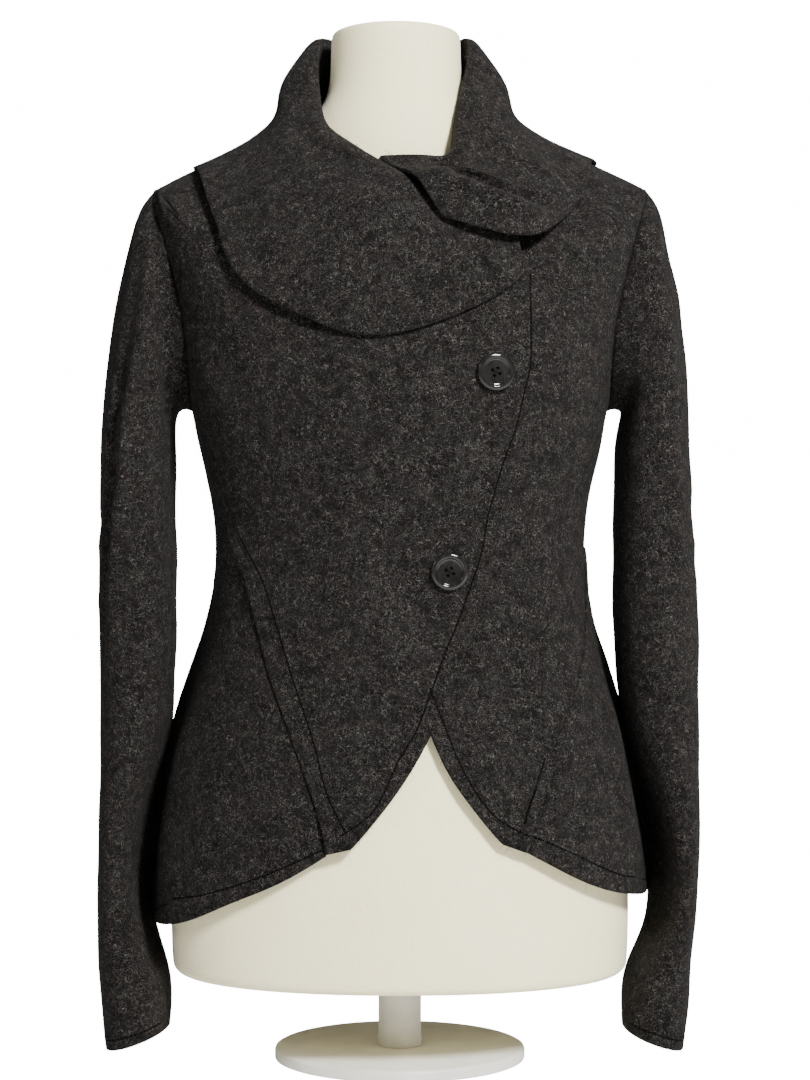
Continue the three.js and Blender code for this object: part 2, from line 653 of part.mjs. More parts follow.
// Sleeves
function foldDepth(turn, ring) {
  let depth = 0;
  for (const fold of SLEEVE_FOLDS) {
    const off = turnBetween(turn, fold.turn) / fold.width;
    const rise = ring < fold.peak
      ? ease((ring - fold.from) / (fold.peak - fold.from))
      : ease((fold.to - ring) / (fold.to - fold.peak));
    depth += fold.depth * Math.exp(-off * off) * rise;
  }
  return depth;
}

function sleevePoint(row, turn, index, side) {
  const c = Math.cos(turn * RAD);
  const s = Math.sin(turn * RAD);
  const round = (v) => Math.sign(v) * Math.abs(v) ** 0.9;
  const outX = row.outX + (side > 0 ? LEFT_SLEEVE[index].out : 0);
  const inX = row.inX + (side > 0 ? LEFT_SLEEVE[index].in : 0);
  const depth = s > 0 ? row.front : row.back;
  const swell = foldDepth(turn, index);
  const wide = Math.hypot(outX - inX, row.outZ - row.inZ) / 2;
  const across = round(c) * (1 + swell / wide);
  const back = Math.max(0, -round(s));
  const x = (outX + inX) / 2 + ((outX - inX) / 2) * across - row.tuck * back;
  const z = (row.outZ + row.inZ) / 2 + ((row.outZ - row.inZ) / 2) * round(c);
  const y = row.mid - round(s) * (depth + swell * 0.6);
  return vec(x * side, y, z);
}

function sleeve(name, side) {
  const turns = [];
  for (let i = 0; i < 2 * ARMHOLE.steps; i += 1) turns.push(armholeTurn(i));
  const seat = turns.map((turn) => {
    const spot = armhole(turn);
    const p = body(spot.angle * side, spot.level);
    return p.add(vec(side * (SEAM_GAP + 0.15), 0, 0));
  });
  const sheet = [seat];
  SLEEVE_RINGS.forEach((row, i) => {
    sheet.push(turns.map((turn) => sleevePoint(row, turn, i, side)));
  });
  const normals = sheetNormals(sheet, true);
  const inner = shifted(sheet, normals, side < 0 ? WALL : -WALL);
  const centre = seat.reduce((sum, p) => sum.add(p), vec(0, 0, 0)).divideScalar(seat.length);
  inner[0] = seat.map((p) => {
    const inwards = vec(0, centre.y - p.y, centre.z - p.z).normalize();
    return p.clone().addScaledVector(inwards, WALL);
  });
  return wallBetween(name, sheet, inner, WOOL, true);
}

// Collar
function curveThrough(knots, t) {
  const span = knots.length - 1;
  const at = Math.min(span - 1e-6, Math.max(0, t * span));
  const i = Math.floor(at);
  const f = at - i;
  const p0 = knots[Math.max(0, i - 1)];
  const p1 = knots[i];
  const p2 = knots[i + 1];
  const p3 = knots[Math.min(span, i + 2)];
  const point = vec(0, 0, 0);
  point.addScaledVector(p0, -0.5 * f + f * f - 0.5 * f ** 3);
  point.addScaledVector(p1, 1 - 2.5 * f * f + 1.5 * f ** 3);
  point.addScaledVector(p2, 0.5 * f + 2 * f * f - 1.5 * f ** 3);
  point.addScaledVector(p3, -0.5 * f * f + 0.5 * f ** 3);
  return point;
}

function collarKnots(row, wide) {
  const turn = turnBetween(row.seam, 0);
  const neck = wide && turn > -90 ? look(NECK_EDGE, 'angle', turn, 'level') : NECK_LEVEL;
  const step = SEAT_STEP + SEAT_STEP_FRONT * ease((wide ? turn + 40 : 70 - turn) / 50);
  const seat = body(row.seam, neck + step, (wide ? lapLift(row.seam) : 0) - WALL + 1.4);
  const roll = vec(row.rollX, row.rollY, row.rollZ);
  const drop = vec(row.dropX, row.dropY, row.dropZ);
  const out = vec(drop.x - roll.x, drop.y - roll.y, 0).normalize();
  const inTop = roll.clone().addScaledVector(out, -ROLL_RADIUS);
  inTop.z -= ROLL_RADIUS * 1.1;
  const outTop = roll.clone().addScaledVector(out, row.round);
  outTop.z -= row.round;
  const edge = body(row.edge, row.level, row.lift);
  const middle = drop.clone().lerp(edge, 0.5);
  const normal = bodyNormal((row.seam + row.edge) / 2, (row.level + NECK_LEVEL) / 2);
  middle.addScaledVector(normal, row.belly);
  const valley = outTop.clone().lerp(drop, row.fold > 0 ? 0.82 : 0.5);
  valley.addScaledVector(row.fold > 0 ? normal : out, -row.fold);
  const stand = seat.clone().lerp(inTop, 0.5);
  return [seat, stand, inTop, roll, outTop, valley, drop, middle, edge];
}

function collarHalf(name, rows, wide) {
  const knots = rows.map((row) => collarKnots(row, wide));
  const sheet = [];
  const stations = (rows.length - 1) * 2;
  for (let i = 0; i <= stations; i += 1) {
    const across = COLLAR_PLACES.map((place) => {
      const line = knots.map((set) => curveThrough(set, place));
      return curveThrough(line, i / stations);
    });
    sheet.push(across);
  }
  sheet[0] = sheet[0].map((p) => p.add(vec((wide ? -1 : 1) * SEAM_GAP * 0.5, 0, 0)));
  const normals = sheetNormals(sheet);
  const outer = shifted(sheet, normals, WALL / 2);
  const inner = shifted(sheet, normals, -WALL / 2);
  for (const row of [outer[0], inner[0]]) {
    for (const p of row) p.x = (wide ? -1 : 1) * SEAM_GAP * 0.5;
  }
  return wallBetween(name, outer, inner, WOOL);
}

// A solid of revolution or a loft of rings closed at both ends
function loft(name, rings, finish) {
  const sides = rings[0].length;
  const points = rings.flat();
  const faces = [];
  for (let i = 0; i < rings.length - 1; i += 1) {
    for (let j = 0; j < sides; j += 1) {
      const k = (j + 1) % sides;
      quad(faces, i * sides + j, i * sides + k, (i + 1) * sides + k, (i + 1) * sides + j);
    }
  }
  const low = points.length;
  points.push(rings[0].reduce((s, p) => s.add(p), vec(0, 0, 0)).divideScalar(sides));
  points.push(rings[rings.length - 1].reduce((s, p) => s.add(p), vec(0, 0, 0)).divideScalar(sides));
  const top = (rings.length - 1) * sides;
  for (let j = 0; j < sides; j += 1) {
    const k = (j + 1) % sides;
    faces.push([low, k, j]);
    faces.push([low + 1, top + j, top + k]);
  }
  return meshOf(name, points, faces, finish);
}

function circle(radius, z, sides) {
  const ring = [];
  for (let j = 0; j < sides; j += 1) {
    const a = (2 * Math.PI * j) / sides;
    ring.push(vec(radius * Math.sin(a), -radius * Math.cos(a), z));
  }
  return ring;
}

function formRing(level, inset = 0) {
  const ring = [];
  const depth = WALL + look(BODY_RINGS, 'level', level, 'ease');
  for (let j = 0; j < FORM.sides; j += 1) {
    const point = body((360 * j) / FORM.sides, level, -depth, true);
    const reach = Math.hypot(point.x, point.y);
    point.x -= (inset * point.x) / reach;
    point.y -= (inset * point.y) / reach;
    ring.push(point);
  }
  return ring;
}

function neckRing(row) {
  const ring = [];
  for (let j = 0; j < FORM.sides; j += 1) {
    const a = (2 * Math.PI * j) / FORM.sides;
    const c = Math.cos(a);
    const depth = c > 0 ? row.front : row.back;
    const z = row.z - row.lean * c;
    ring.push(vec(FORM.neckX + row.half * Math.sin(a), -depth * c, z));
  }
  return ring;
}

function dressForm() {
  const rings = [];
  const edge = FORM.edge;
  for (const turn of [0, 30, 60, 90]) {
    const ring = formRing(FORM.bottom + edge, edge * (1 - Math.sin(turn * RAD)));
    const drop = edge * Math.cos(turn * RAD);
    rings.push(ring.map((p) => vec(p.x, p.y, p.z - drop)));
  }
  for (const level of [120, 165, 205, 240, 270, 300, 342, 385, 435, 480, 520, 560, 600, 635]) {
    rings.push(formRing(level));
  }
  for (const level of [655, 668, 685, 700, 720, 740, 758]) rings.push(formRing(level));
  for (const row of NECK_RINGS) rings.push(neckRing(row));
  rings.push(neckRing({ z: FORM.neckTop, half: 47.5, front: 52.5, back: 42.5, lean: 0 }));
  return loft('dress_form', rings, COVER);
}

function standBase() {
  const s = STAND;
  const rings = [
    circle(s.radius, 0, s.sides),
    circle(s.radius, s.thick - s.chamfer, s.sides),
    circle(s.radius - s.chamfer, s.thick, s.sides),
  ];
  return loft('stand_base', rings, PAINT);
}

function standPole() {
  const rings = [
    circle(STAND.pole, STAND.thick + SEAM_GAP, 28),
    circle(STAND.pole, FORM.bottom - SEAM_GAP, 28),
  ];
  return loft('stand_pole', rings, PAINT);
}

// Buttons: a dished disc with a rim
function lapSpot(x, z) {
  let angle = Math.atan2(x, 110) / RAD;
  let level = z;
  for (let i = 0; i < 30; i += 1) {
    const p = body(angle, level, lapLift(angle));
    angle += (x - p.x) / 2.2;
    level += (z - p.z) * 0.8;
  }
  return { angle, level };
}

function button(row) {
  const b = BUTTON;
  const spot = lapSpot(row.x, row.z);
  const normal = bodyNormal(spot.angle, spot.level);
  const seat = body(spot.angle, spot.level, lapLift(spot.angle) + row.seat);
  const side = vec(0, 0, 1).cross(normal).normalize();
  const rise = normal.clone().cross(side);
  const profile = [
    [b.radius - 3.5, 0],
    [b.radius - 0.6, 0.9],
    [b.radius, 2],
    [b.radius - 0.5, b.thick - 0.5],
    [b.radius - 1.2, b.thick],
    [b.radius - b.rim, b.thick - 0.4],
    [b.radius - b.rim - 1.5, b.thick - b.dish],
  ];
  const place = (r, a, h) => seat.clone()
    .addScaledVector(side, r * Math.cos(a))
    .addScaledVector(rise, r * Math.sin(a))
    .addScaledVector(normal, h);
  const rings = profile.map(([r, h]) => {
    const ring = [];
    for (let j = 0; j < b.sides; j += 1) ring.push(place(r, (2 * Math.PI * j) / b.sides, h));
    return ring;
  });
  return loft(row.name, rings, HORN);
}

const group = new THREE.Group();
group.name = 'wool_jacket';
group.add(
  rightFront(),
  leftFront(),
  sidePanel('right_side', -1, HEM_RIGHT, 1),
  sidePanel('left_side', 1, HEM_LEFT, 0.965),
  backPanel('right_back', -1),
  backPanel('left_back', 1),
  seamBand('right_seam_band', -1),
  seamBand('left_seam_band', 1),
  sleeve('right_sleeve', -1),
  sleeve('left_sleeve', 1),
  collarHalf('collar_right', COLLAR_RIGHT, true),
  collarHalf('collar_left', COLLAR_LEFT, false),
  ...BUTTONS.map(button),
  dressForm(),
  standPole(),
  standBase(),
);

export default group;
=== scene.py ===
"""Cropped wrap jacket in boiled wool on a limbless dress form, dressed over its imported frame."""

from __future__ import annotations

import json
import logging
import math
from dataclasses import dataclass, field
from enum import Enum

import bmesh
import bpy
import numpy as np
from bpy.types import Material, Mesh, Node, Object
from mathutils import Matrix, Vector
from mathutils.bvhtree import BVHTree
from mathutils.kdtree import KDTree

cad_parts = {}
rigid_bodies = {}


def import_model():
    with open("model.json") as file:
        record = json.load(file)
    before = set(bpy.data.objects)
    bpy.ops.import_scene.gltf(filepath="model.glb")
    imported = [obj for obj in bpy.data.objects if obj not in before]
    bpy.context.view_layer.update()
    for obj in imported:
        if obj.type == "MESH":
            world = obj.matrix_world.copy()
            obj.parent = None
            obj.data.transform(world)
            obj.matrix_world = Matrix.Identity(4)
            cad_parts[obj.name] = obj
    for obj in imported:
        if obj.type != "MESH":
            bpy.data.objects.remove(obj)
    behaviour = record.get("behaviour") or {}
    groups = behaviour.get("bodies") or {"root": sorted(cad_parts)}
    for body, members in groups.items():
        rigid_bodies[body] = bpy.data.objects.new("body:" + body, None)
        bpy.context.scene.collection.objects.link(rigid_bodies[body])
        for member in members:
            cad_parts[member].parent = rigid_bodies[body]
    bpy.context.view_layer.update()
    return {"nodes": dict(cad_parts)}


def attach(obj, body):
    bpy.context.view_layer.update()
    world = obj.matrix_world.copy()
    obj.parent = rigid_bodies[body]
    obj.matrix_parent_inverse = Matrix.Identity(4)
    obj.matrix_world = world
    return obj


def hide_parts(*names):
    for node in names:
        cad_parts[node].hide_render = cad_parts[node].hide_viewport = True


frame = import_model()

LOG = logging.getLogger("wool_jacket")
MM = 0.001
TINY = 1e-9
BLACK, WHITE = (0.0, 0.0, 0.0), (1.0, 1.0, 1.0)
MIX_FIRST, MIX_SECOND, MIXED = 6, 7, 2

Triple = tuple[float, float, float]
Stops = tuple[tuple[float, Triple], ...]
Line = tuple[tuple[float, float], ...]
Faces = list[tuple[int, ...]]


class Slot(Enum):
    """Names of the record's material slots."""

    WOOL = "wool"
    HORN = "horn"
    COVER = "cover"
    PAINT = "paint"


class Facing(Enum):
    """The direction from which a line is laid onto the cloth."""

    FRONT = (0.0, 1.0, 0.0)
    BACK = (0.0, -1.0, 0.0)
    WEARER_RIGHT = (1.0, 0.0, 0.0)
    WEARER_LEFT = (-1.0, 0.0, 0.0)

    @property
    def ray(self) -> Vector:
        """Direction of travel towards the cloth."""
        return Vector(self.value)


# ---------------------------------------------------------------- finishes


class Nodes:
    """A short way to write a shader tree."""

    def __init__(self, name: str) -> None:
        """Starts a material with a Principled shader and its output.

        Args:
            name: Name of the material.
        """
        self.material = bpy.data.materials.new(name)
        self.material.use_nodes = True
        self.tree = self.material.node_tree
        self.tree.nodes.clear()
        self.shader = self.tree.nodes.new("ShaderNodeBsdfPrincipled")
        self.out = self.tree.nodes.new("ShaderNodeOutputMaterial")
        self.link(self.shader, "BSDF", self.out, "Surface")
        self.coord = self.tree.nodes.new("ShaderNodeTexCoord")

    def link(self, a: Node, out: str | int, b: Node, into: str | int) -> None:
        """Joins an output socket to an input socket.

        Args:
            a: Node that gives the value.
            out: Its output socket.
            b: Node that takes the value.
            into: Its input socket.
        """
        self.tree.links.new(a.outputs[out], b.inputs[into])

    def add(self, kind: str, **values: object) -> Node:
        """Adds a node, with properties or input values by name.

        Args:
            kind: Node type without its ShaderNode prefix.
            **values: Properties of the node or default values of its inputs.

        Returns:
            The new node.
        """
        node = self.tree.nodes.new("ShaderNode" + kind)
        for key, value in values.items():
            if hasattr(node, key):
                setattr(node, key, value)
            else:
                node.inputs[key.replace("_", " ")].default_value = value
        return node

    def stretched(self, scale: Triple, turn: Triple = (0, 0, 0)) -> Node:
        """Object coordinates stretched and turned, for grain that runs one way.

        Args:
            scale: Repeats per metre along each axis.
            turn: Rotation in degrees.

        Returns:
            The mapping node.
        """
        node = self.add("Mapping")
        node.inputs["Scale"].default_value = scale
        node.inputs["Rotation"].default_value = [math.radians(v) for v in turn]
        self.link(self.coord, "Object", node, "Vector")
        return node

    def noise(self, vector: Node, scale: float, detail: float, rough: float, warp: float = 0.0) -> Node:
        """A noise texture on given coordinates.

        Args:
            vector: Node that gives the coordinates.
            scale: Noise scale.
            detail: Number of octaves.
            rough: How strong the finer octaves are.
            warp: Distortion.

        Returns:
            The noise node.
        """
        node = self.add("TexNoise", Scale=scale, Detail=detail, Roughness=rough, Distortion=warp)
        self.link(vector, "Object" if vector is self.coord else "Vector", node, "Vector")
        return node

    def ramp(self, source: Node, out: str, stops: Stops | list[tuple[float, Triple]]) -> Node:
        """A colour ramp over a value.

        Args:
            source: Node that gives the value.
            out: Its output socket.
            stops: Places from 0 to 1 with their colours.

        Returns:
            The ramp node.
        """
        node = self.add("ValToRGB")
        ramp = node.color_ramp
        while len(ramp.elements) < len(stops):
            ramp.elements.new(0.5)
        for element, (place, colour) in zip(ramp.elements, stops):
            element.position = place
            element.color = (*colour, 1.0)
        self.link(source, out, node, "Fac")
        return node

    def mix(self, how: str, share: float | tuple[Node, int], a: Node, b: Node) -> Node:
        """Mixes two colours.

        Args:
            how: Blend type.
            share: A number, or a node and its output, for how much of b is used.
            a: First colour's node.
            b: Second colour's node.

        Returns:
            The mix node, whose colour is its output MIXED.
        """
        node = self.add("Mix", data_type="RGBA", blend_type=how)
        if isinstance(share, tuple):
            self.link(share[0], share[1], node, 0)
        else:
            node.inputs[0].default_value = share
        for colour, into in ((a, MIX_FIRST), (b, MIX_SECOND)):
            self.link(colour, self.colour_of(colour), node, into)
        return node

    @staticmethod
    def colour_of(node: Node) -> str | int:
        """Where a node gives its colour.

        Args:
            node: A mix or any other node with a colour.

        Returns:
            Its output socket.
        """
        return MIXED if node.bl_idname == "ShaderNodeMix" else "Color"

    def bump(self, height: Node, depth: float, strength: float, under: Node | None = None) -> Node:
        """Raises the surface by a height value.

        Args:
            height: Node that gives the height.
            depth: Height of a full step in metres.
            strength: Share of the effect.
            under: A bump that this one adds to.

        Returns:
            The bump node.
        """
        node = self.add("Bump", Distance=depth, Strength=strength)
        self.link(height, "Color" if height.bl_idname == "ShaderNodeValToRGB" else "Fac", node, "Height")
        if under is not None:
            self.link(under, "Normal", node, "Normal")
        return node

    def finish(self, colour: Node, raised: Node | None = None, **inputs: float | tuple) -> Material:
        """Joins the last nodes to the shader.

        Args:
            colour: Node that gives the base colour.
            raised: The last bump, if there is one.
            **inputs: The shader's other inputs by name.

        Returns:
            The finished material.
        """
        self.link(colour, self.colour_of(colour), self.shader, "Base Color")
        if raised is not None:
            self.link(raised, "Normal", self.shader, "Normal")
        for key, value in inputs.items():
            self.shader.inputs[key.replace("_", " ")].default_value = value
        return self.material


@dataclass(frozen=True)
class FibreLayer:
    """One layer of fine curled fibres that shows on the face of the wool."""

    size: float
    spread: float
    cover: float
    colour: Triple
    shift: Triple


@dataclass(frozen=True)
class WoolFinish:
    """Heathered, felted wool: mixed dark fibres with pale and tinted ones over them and a soft nap."""

    name: str = "boiled_wool"
    dark: Triple = (0.0014, 0.0013, 0.0012)
    middle: Triple = (0.0040, 0.0036, 0.0033)
    light: Triple = (0.0080, 0.0071, 0.0066)
    nap: float = 0.025
    tint: float = 0.65
    hues: Stops = (
        (0.34, (0.46, 0.545, 0.46)),
        (0.46, (0.505, 0.51, 0.50)),
        (0.56, (0.55, 0.50, 0.47)),
        (0.66, (0.52, 0.475, 0.53)),
    )
    outer: float = 0.004
    inner: float = 0.002
    fray: float = 0.03
    layers: tuple[FibreLayer, ...] = (
        FibreLayer(170.0, 0.0075, 0.42, (0.0010, 0.0010, 0.0009), (0.31, 0.0, 0.17)),
        FibreLayer(230.0, 0.0060, 0.44, (0.044, 0.038, 0.035), (0.0, 0.27, 0.05)),
        FibreLayer(280.0, 0.0065, 0.44, (0.029, 0.032, 0.028), (0.11, 0.43, 0.0)),
        FibreLayer(330.0, 0.0070, 0.44, (0.036, 0.030, 0.033), (0.41, 0.13, 0.29)),
        FibreLayer(200.0, 0.0070, 0.42, (0.0010, 0.0009, 0.0009), (0.07, 0.33, 0.21)),
        FibreLayer(255.0, 0.0048, 0.45, (0.077, 0.069, 0.064), (0.23, 0.09, 0.37)),
        FibreLayer(300.0, 0.0040, 0.49, (0.120, 0.110, 0.102), (0.37, 0.21, 0.11)),
    )

    def strands(self, n: Nodes, layer: FibreLayer) -> tuple[Node, Node]:
        """Thin curled lines where a noise passes its middle value, broken into short fibres.

        Args:
            n: The shader tree.
            layer: Size, thinness and cover of the fibres.

        Returns:
            The lines' mask and the broken lines' mask.
        """
        moved = n.stretched((1.0, 1.0, 1.0))
        moved.inputs["Location"].default_value = layer.shift
        wander = n.noise(moved, layer.size, 1.4, 0.5, 0.5)
        low, high = 0.5 - layer.spread, 0.5 + layer.spread
        rising = [(low - self.outer, BLACK), (low + self.inner, WHITE)]
        falling = [(high - self.inner, WHITE), (high + self.outer, BLACK)]
        line = n.ramp(wander, "Fac", rising + falling)
        breaks = n.noise(moved, layer.size * 0.5, 1.0, 0.5)
        gaps = n.ramp(breaks, "Fac", [(layer.cover - self.fray, BLACK), (layer.cover + self.fray, WHITE)])
        return line, n.mix("MULTIPLY", 1.0, line, gaps)

    def build(self) -> Material:
        """Makes the material.

        Returns:
            The wool material.
        """
        n = Nodes(self.name)
        cloud = n.noise(n.coord, 48.0, 6.0, 0.68)
        last = n.ramp(cloud, "Fac", [(0.34, self.dark), (0.50, self.middle), (0.68, self.light)])
        patch = n.noise(n.coord, 70.0, 3.0, 0.6)
        hues = n.ramp(patch, "Color", self.hues)
        for layer in self.layers:
            _, broken = self.strands(n, layer)
            shade = n.add("RGB")
            shade.outputs[0].default_value = (*layer.colour, 1.0)
            last = n.mix("MIX", (broken, MIXED), last, shade)
        last = n.mix("SOFT_LIGHT", self.tint, last, hues)
        tufts = n.noise(n.coord, 330.0, 6.0, 0.72)
        first = n.bump(tufts, 0.0030, 0.75)
        line, _ = self.strands(n, self.layers[1])
        second = n.bump(line, 0.0004, 0.5, first)
        return n.finish(
            last,
            second,
            Roughness=1.0,
            Specular_IOR_Level=0.08,
            Sheen_Weight=self.nap,
            Sheen_Roughness=0.6,
            Sheen_Tint=(0.60, 0.56, 0.52, 1.0),
        )


@dataclass(frozen=True)
class NapFinish:
    """Loose surface fibres, from nearly black to pale, changing from place to place."""

    name: str = "wool_nap"
    shades: Stops = (
        (0.36, (0.003, 0.0028, 0.0026)),
        (0.50, (0.011, 0.010, 0.0094)),
        (0.60, (0.029, 0.026, 0.024)),
        (0.72, (0.108, 0.098, 0.092)),
    )

    def build(self) -> Material:
        """Makes the material.

        Returns:
            The loose fibres' material.
        """
        n = Nodes(self.name)
        mixed = n.noise(n.coord, 260.0, 2.0, 0.6)
        return n.finish(n.ramp(mixed, "Fac", self.shades), Roughness=0.85, Specular_IOR_Level=0.15)


@dataclass(frozen=True)
class StitchShadowFinish:
    """Painted shade: a near-black wool colour for the thin strips laid under rows of stitches and along
    seams, standing in for the shadow in their sunk grooves.
    """

    name: str = "painted_stitch_shadow"
    dark: Triple = (0.0006, 0.0006, 0.0005)
    light: Triple = (0.0022, 0.0020, 0.0018)

    def build(self) -> Material:
        """Makes the material.

        Returns:
            The material of the channels.
        """
        n = Nodes(self.name)
        felt = n.noise(n.coord, 420.0, 4.0, 0.7)
        shade = n.ramp(felt, "Fac", [(0.42, self.dark), (0.66, self.light)])
        return n.finish(shade, n.bump(felt, 0.0008, 0.6), Roughness=1.0, Specular_IOR_Level=0.05)


@dataclass(frozen=True)
class ThreadFinish:
    """Matt sewing thread, close to the wool in colour."""

    name: str = "sewing_thread"
    colour: Triple = (0.0052, 0.0047, 0.0043)

    def build(self) -> Material:
        """Makes the material.

        Returns:
            The thread material.
        """
        n = Nodes(self.name)
        ply = n.add("TexWave", Scale=700.0, Distortion=1.5)
        n.link(n.coord, "Object", ply, "Vector")
        shade = n.ramp(ply, "Color", [(0.0, tuple(v * 0.55 for v in self.colour)), (1.0, self.colour)])
        return n.finish(shade, n.bump(ply, 0.0002, 0.6), Roughness=0.8, Specular_IOR_Level=0.15)


@dataclass(frozen=True)
class HornFinish:
    """Polished dark button plastic with a faint cloudy grain."""

    name: str = "dark_horn_plastic"
    dark: Triple = (0.0065, 0.0062, 0.0060)
    light: Triple = (0.0150, 0.0140, 0.0135)

    def build(self) -> Material:
        """Makes the material.

        Returns:
            The button material.
        """
        n = Nodes(self.name)
        cloud = n.noise(n.stretched((1.0, 1.0, 0.4), (20, 10, 30)), 130.0, 4.0, 0.6, 1.2)
        shade = n.ramp(cloud, "Fac", [(0.34, self.dark), (0.68, self.light)])
        wear = n.noise(n.coord, 900.0, 3.0, 0.6)
        rough = n.ramp(wear, "Fac", [(0.3, (0.05, 0.05, 0.05)), (0.75, (0.10, 0.10, 0.10))])
        n.link(rough, "Color", n.shader, "Roughness")
        return n.finish(shade, n.bump(cloud, 0.00025, 0.25), Specular_IOR_Level=0.34)


@dataclass(frozen=True)
class CoverFinish:
    """Close cream knit stretched over the form, with a fine rib and slight soiling."""

    name: str = "cream_jersey"
    pale: Triple = (0.96, 0.88, 0.565)
    shade: Triple = (0.92, 0.835, 0.51)

    def build(self) -> Material:
        """Makes the material.

        Returns:
            The cover material.
        """
        n = Nodes(self.name)
        cloud = n.noise(n.coord, 9.0, 5.0, 0.6)
        base = n.ramp(cloud, "Fac", [(0.32, self.shade), (0.62, self.pale)])
        loops = n.noise(n.stretched((1.0, 1.0, 0.5)), 1300.0, 2.0, 0.5)
        speck = n.ramp(loops, "Fac", [(0.35, (0.86, 0.86, 0.85)), (0.6, WHITE)])
        both = n.mix("MULTIPLY", 0.7, base, speck)
        rib = n.add("TexWave", bands_direction="X", Scale=260.0, Distortion=0.8)
        n.link(n.coord, "Object", rib, "Vector")
        first = n.bump(rib, 0.0003, 0.3)
        second = n.bump(loops, 0.0004, 0.5, first)
        return n.finish(both, second, Roughness=0.85, Sheen_Weight=0.3, Sheen_Roughness=0.5)


@dataclass(frozen=True)
class PaintFinish:
    """Powder-coated steel with a fine orange-peel skin."""

    name: str = "pale_powder_coat"
    colour: Triple = (0.70, 0.685, 0.64)

    def build(self) -> Material:
        """Makes the material.

        Returns:
            The stand's material.
        """
        n = Nodes(self.name)
        peel = n.noise(n.coord, 700.0, 2.0, 0.5)
        dust = n.noise(n.coord, 40.0, 5.0, 0.65)
        shade = n.ramp(dust, "Fac", [(0.35, tuple(v * 0.88 for v in self.colour)), (0.65, self.colour)])
        return n.finish(shade, n.bump(peel, 0.0002, 0.35), Roughness=0.42)


@dataclass(frozen=True)
class FloorFinish:
    """Plain pale studio floor."""

    name: str = "studio_floor"
    colour: Triple = (0.93, 0.93, 0.93)
    glow: float = 0.12
    paper: float = 16.0

    def build(self) -> Material:
        """Makes the material.

        Returns:
            The floor's material.
        """
        n = Nodes(self.name)
        grain = n.noise(n.coord, 4.0, 3.0, 0.5)
        shade = n.ramp(grain, "Fac", [(0.3, tuple(v * 0.985 for v in self.colour)), (0.7, self.colour)])
        strength = n.add("MapRange", To_Min=self.glow, To_Max=self.paper)
        n.link(n.add("LightPath"), "Is Camera Ray", strength, "Value")
        n.link(strength, "Result", n.shader, "Emission Strength")
        return n.finish(shade, Roughness=0.8, Emission_Color=(*WHITE, 1.0))


class Palette:
    """Every finish, made once."""

    def __init__(self) -> None:
        """Builds the materials."""
        self.wool = WoolFinish().build()
        self.nap = NapFinish().build()
        self.thread = ThreadFinish().build()
        # painted shade: near-black colour for the strips under stitches and along seams
        self.stitch_shadow = StitchShadowFinish().build()
        self.horn = HornFinish().build()
        self.cover = CoverFinish().build()
        self.paint = PaintFinish().build()
        self.floor = FloorFinish().build()


# ---------------------------------------------------------------- meshes and folds


def in_scene(name: str, data: Mesh | bpy.types.Camera | bpy.types.Light) -> Object:
    """Puts a new object into the scene.

    Args:
        name: Object's name.
        data: What it shows.

    Returns:
        The new object.
    """
    made = bpy.data.objects.new(name, data)
    bpy.context.scene.collection.objects.link(made)
    return made


def applied(source: Object) -> Mesh:
    """The mesh of an object after its modifiers.

    Args:
        source: The object.

    Returns:
        A new mesh.
    """
    view = bpy.context.evaluated_depsgraph_get()
    return bpy.data.meshes.new_from_object(source.evaluated_get(view))


def rows(mesh: Mesh) -> np.ndarray:
    """A mesh's points, one row each.

    Args:
        mesh: The mesh.

    Returns:
        The points.
    """
    flat = np.zeros(len(mesh.vertices) * 3)
    mesh.vertices.foreach_get("co", flat)
    return flat.reshape(-1, 3)


def circle(sides: int) -> list[tuple[float, float]]:
    """The corners of a round section of radius one.

    Args:
        sides: How many corners.

    Returns:
        Cosine and sine of each.
    """
    turns = [2 * math.pi * j / sides for j in range(sides)]
    return [(math.cos(a), math.sin(a)) for a in turns]


def tube_faces(first: int, rings: int, sides: int) -> Faces:
    """Faces of a closed tube whose rings of points follow each other.

    Args:
        first: Number of its first point.
        rings: How many rings it has.
        sides: Points in each ring.

    Returns:
        Its side faces and its two ends.
    """
    faces: Faces = []
    for ring in range(rings - 1):
        low = first + ring * sides
        for j in range(sides):
            a, b = low + j, low + (j + 1) % sides
            faces.append((a, b, b + sides, a + sides))
    last = first + (rings - 1) * sides
    return [*faces, tuple(reversed(range(first, first + sides))), tuple(range(last, last + sides))]


def mesh_object(name: str, verts: np.ndarray, faces: Faces, material: Material) -> Object:
    """A smooth-shaded mesh object in the scene.

    Args:
        name: Object's name.
        verts: Points in metres, one row each.
        faces: Vertex numbers of each face.
        material: Finish.

    Returns:
        The new object.
    """
    mesh = bpy.data.meshes.new(name)
    points = [tuple(p) for p in np.asarray(verts, float)]
    mesh.from_pydata(points, [], [tuple(int(v) for v in f) for f in faces])
    mesh.update()
    mesh.shade_smooth()
    mesh.materials.append(material)
    return in_scene(name, mesh)


def place(piece: Object, slot: Slot) -> Object:
    """Lets a piece ride on the part and logs its face count.

    Args:
        piece: The piece.
        slot: Not used.

    Returns:
        The same piece.
    """
    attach(piece, "root")
    LOG.info("%s: %d faces", piece.name, len(piece.data.polygons))
    return piece


def stand_in(mesh: Mesh, name: str, node: str, material: Material, slot: Slot, sharp: float = 0.0) -> Object:
    """Makes a mesh into the piece that takes a solid's place.

    Args:
        mesh: The piece's mesh.
        name: The piece's name.
        node: The solid that it replaces.
        material: Finish.
        slot: Its material slot.
        sharp: Corners above this angle in degrees stay sharp; zero keeps none.

    Returns:
        The piece.
    """
    mesh.name = name
    mesh.shade_smooth()
    if sharp:
        mesh.set_sharp_from_angle(angle=math.radians(sharp))
    mesh.materials.clear()
    mesh.materials.append(material)
    piece = in_scene(name, mesh)
    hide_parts(node)
    return place(piece, slot)


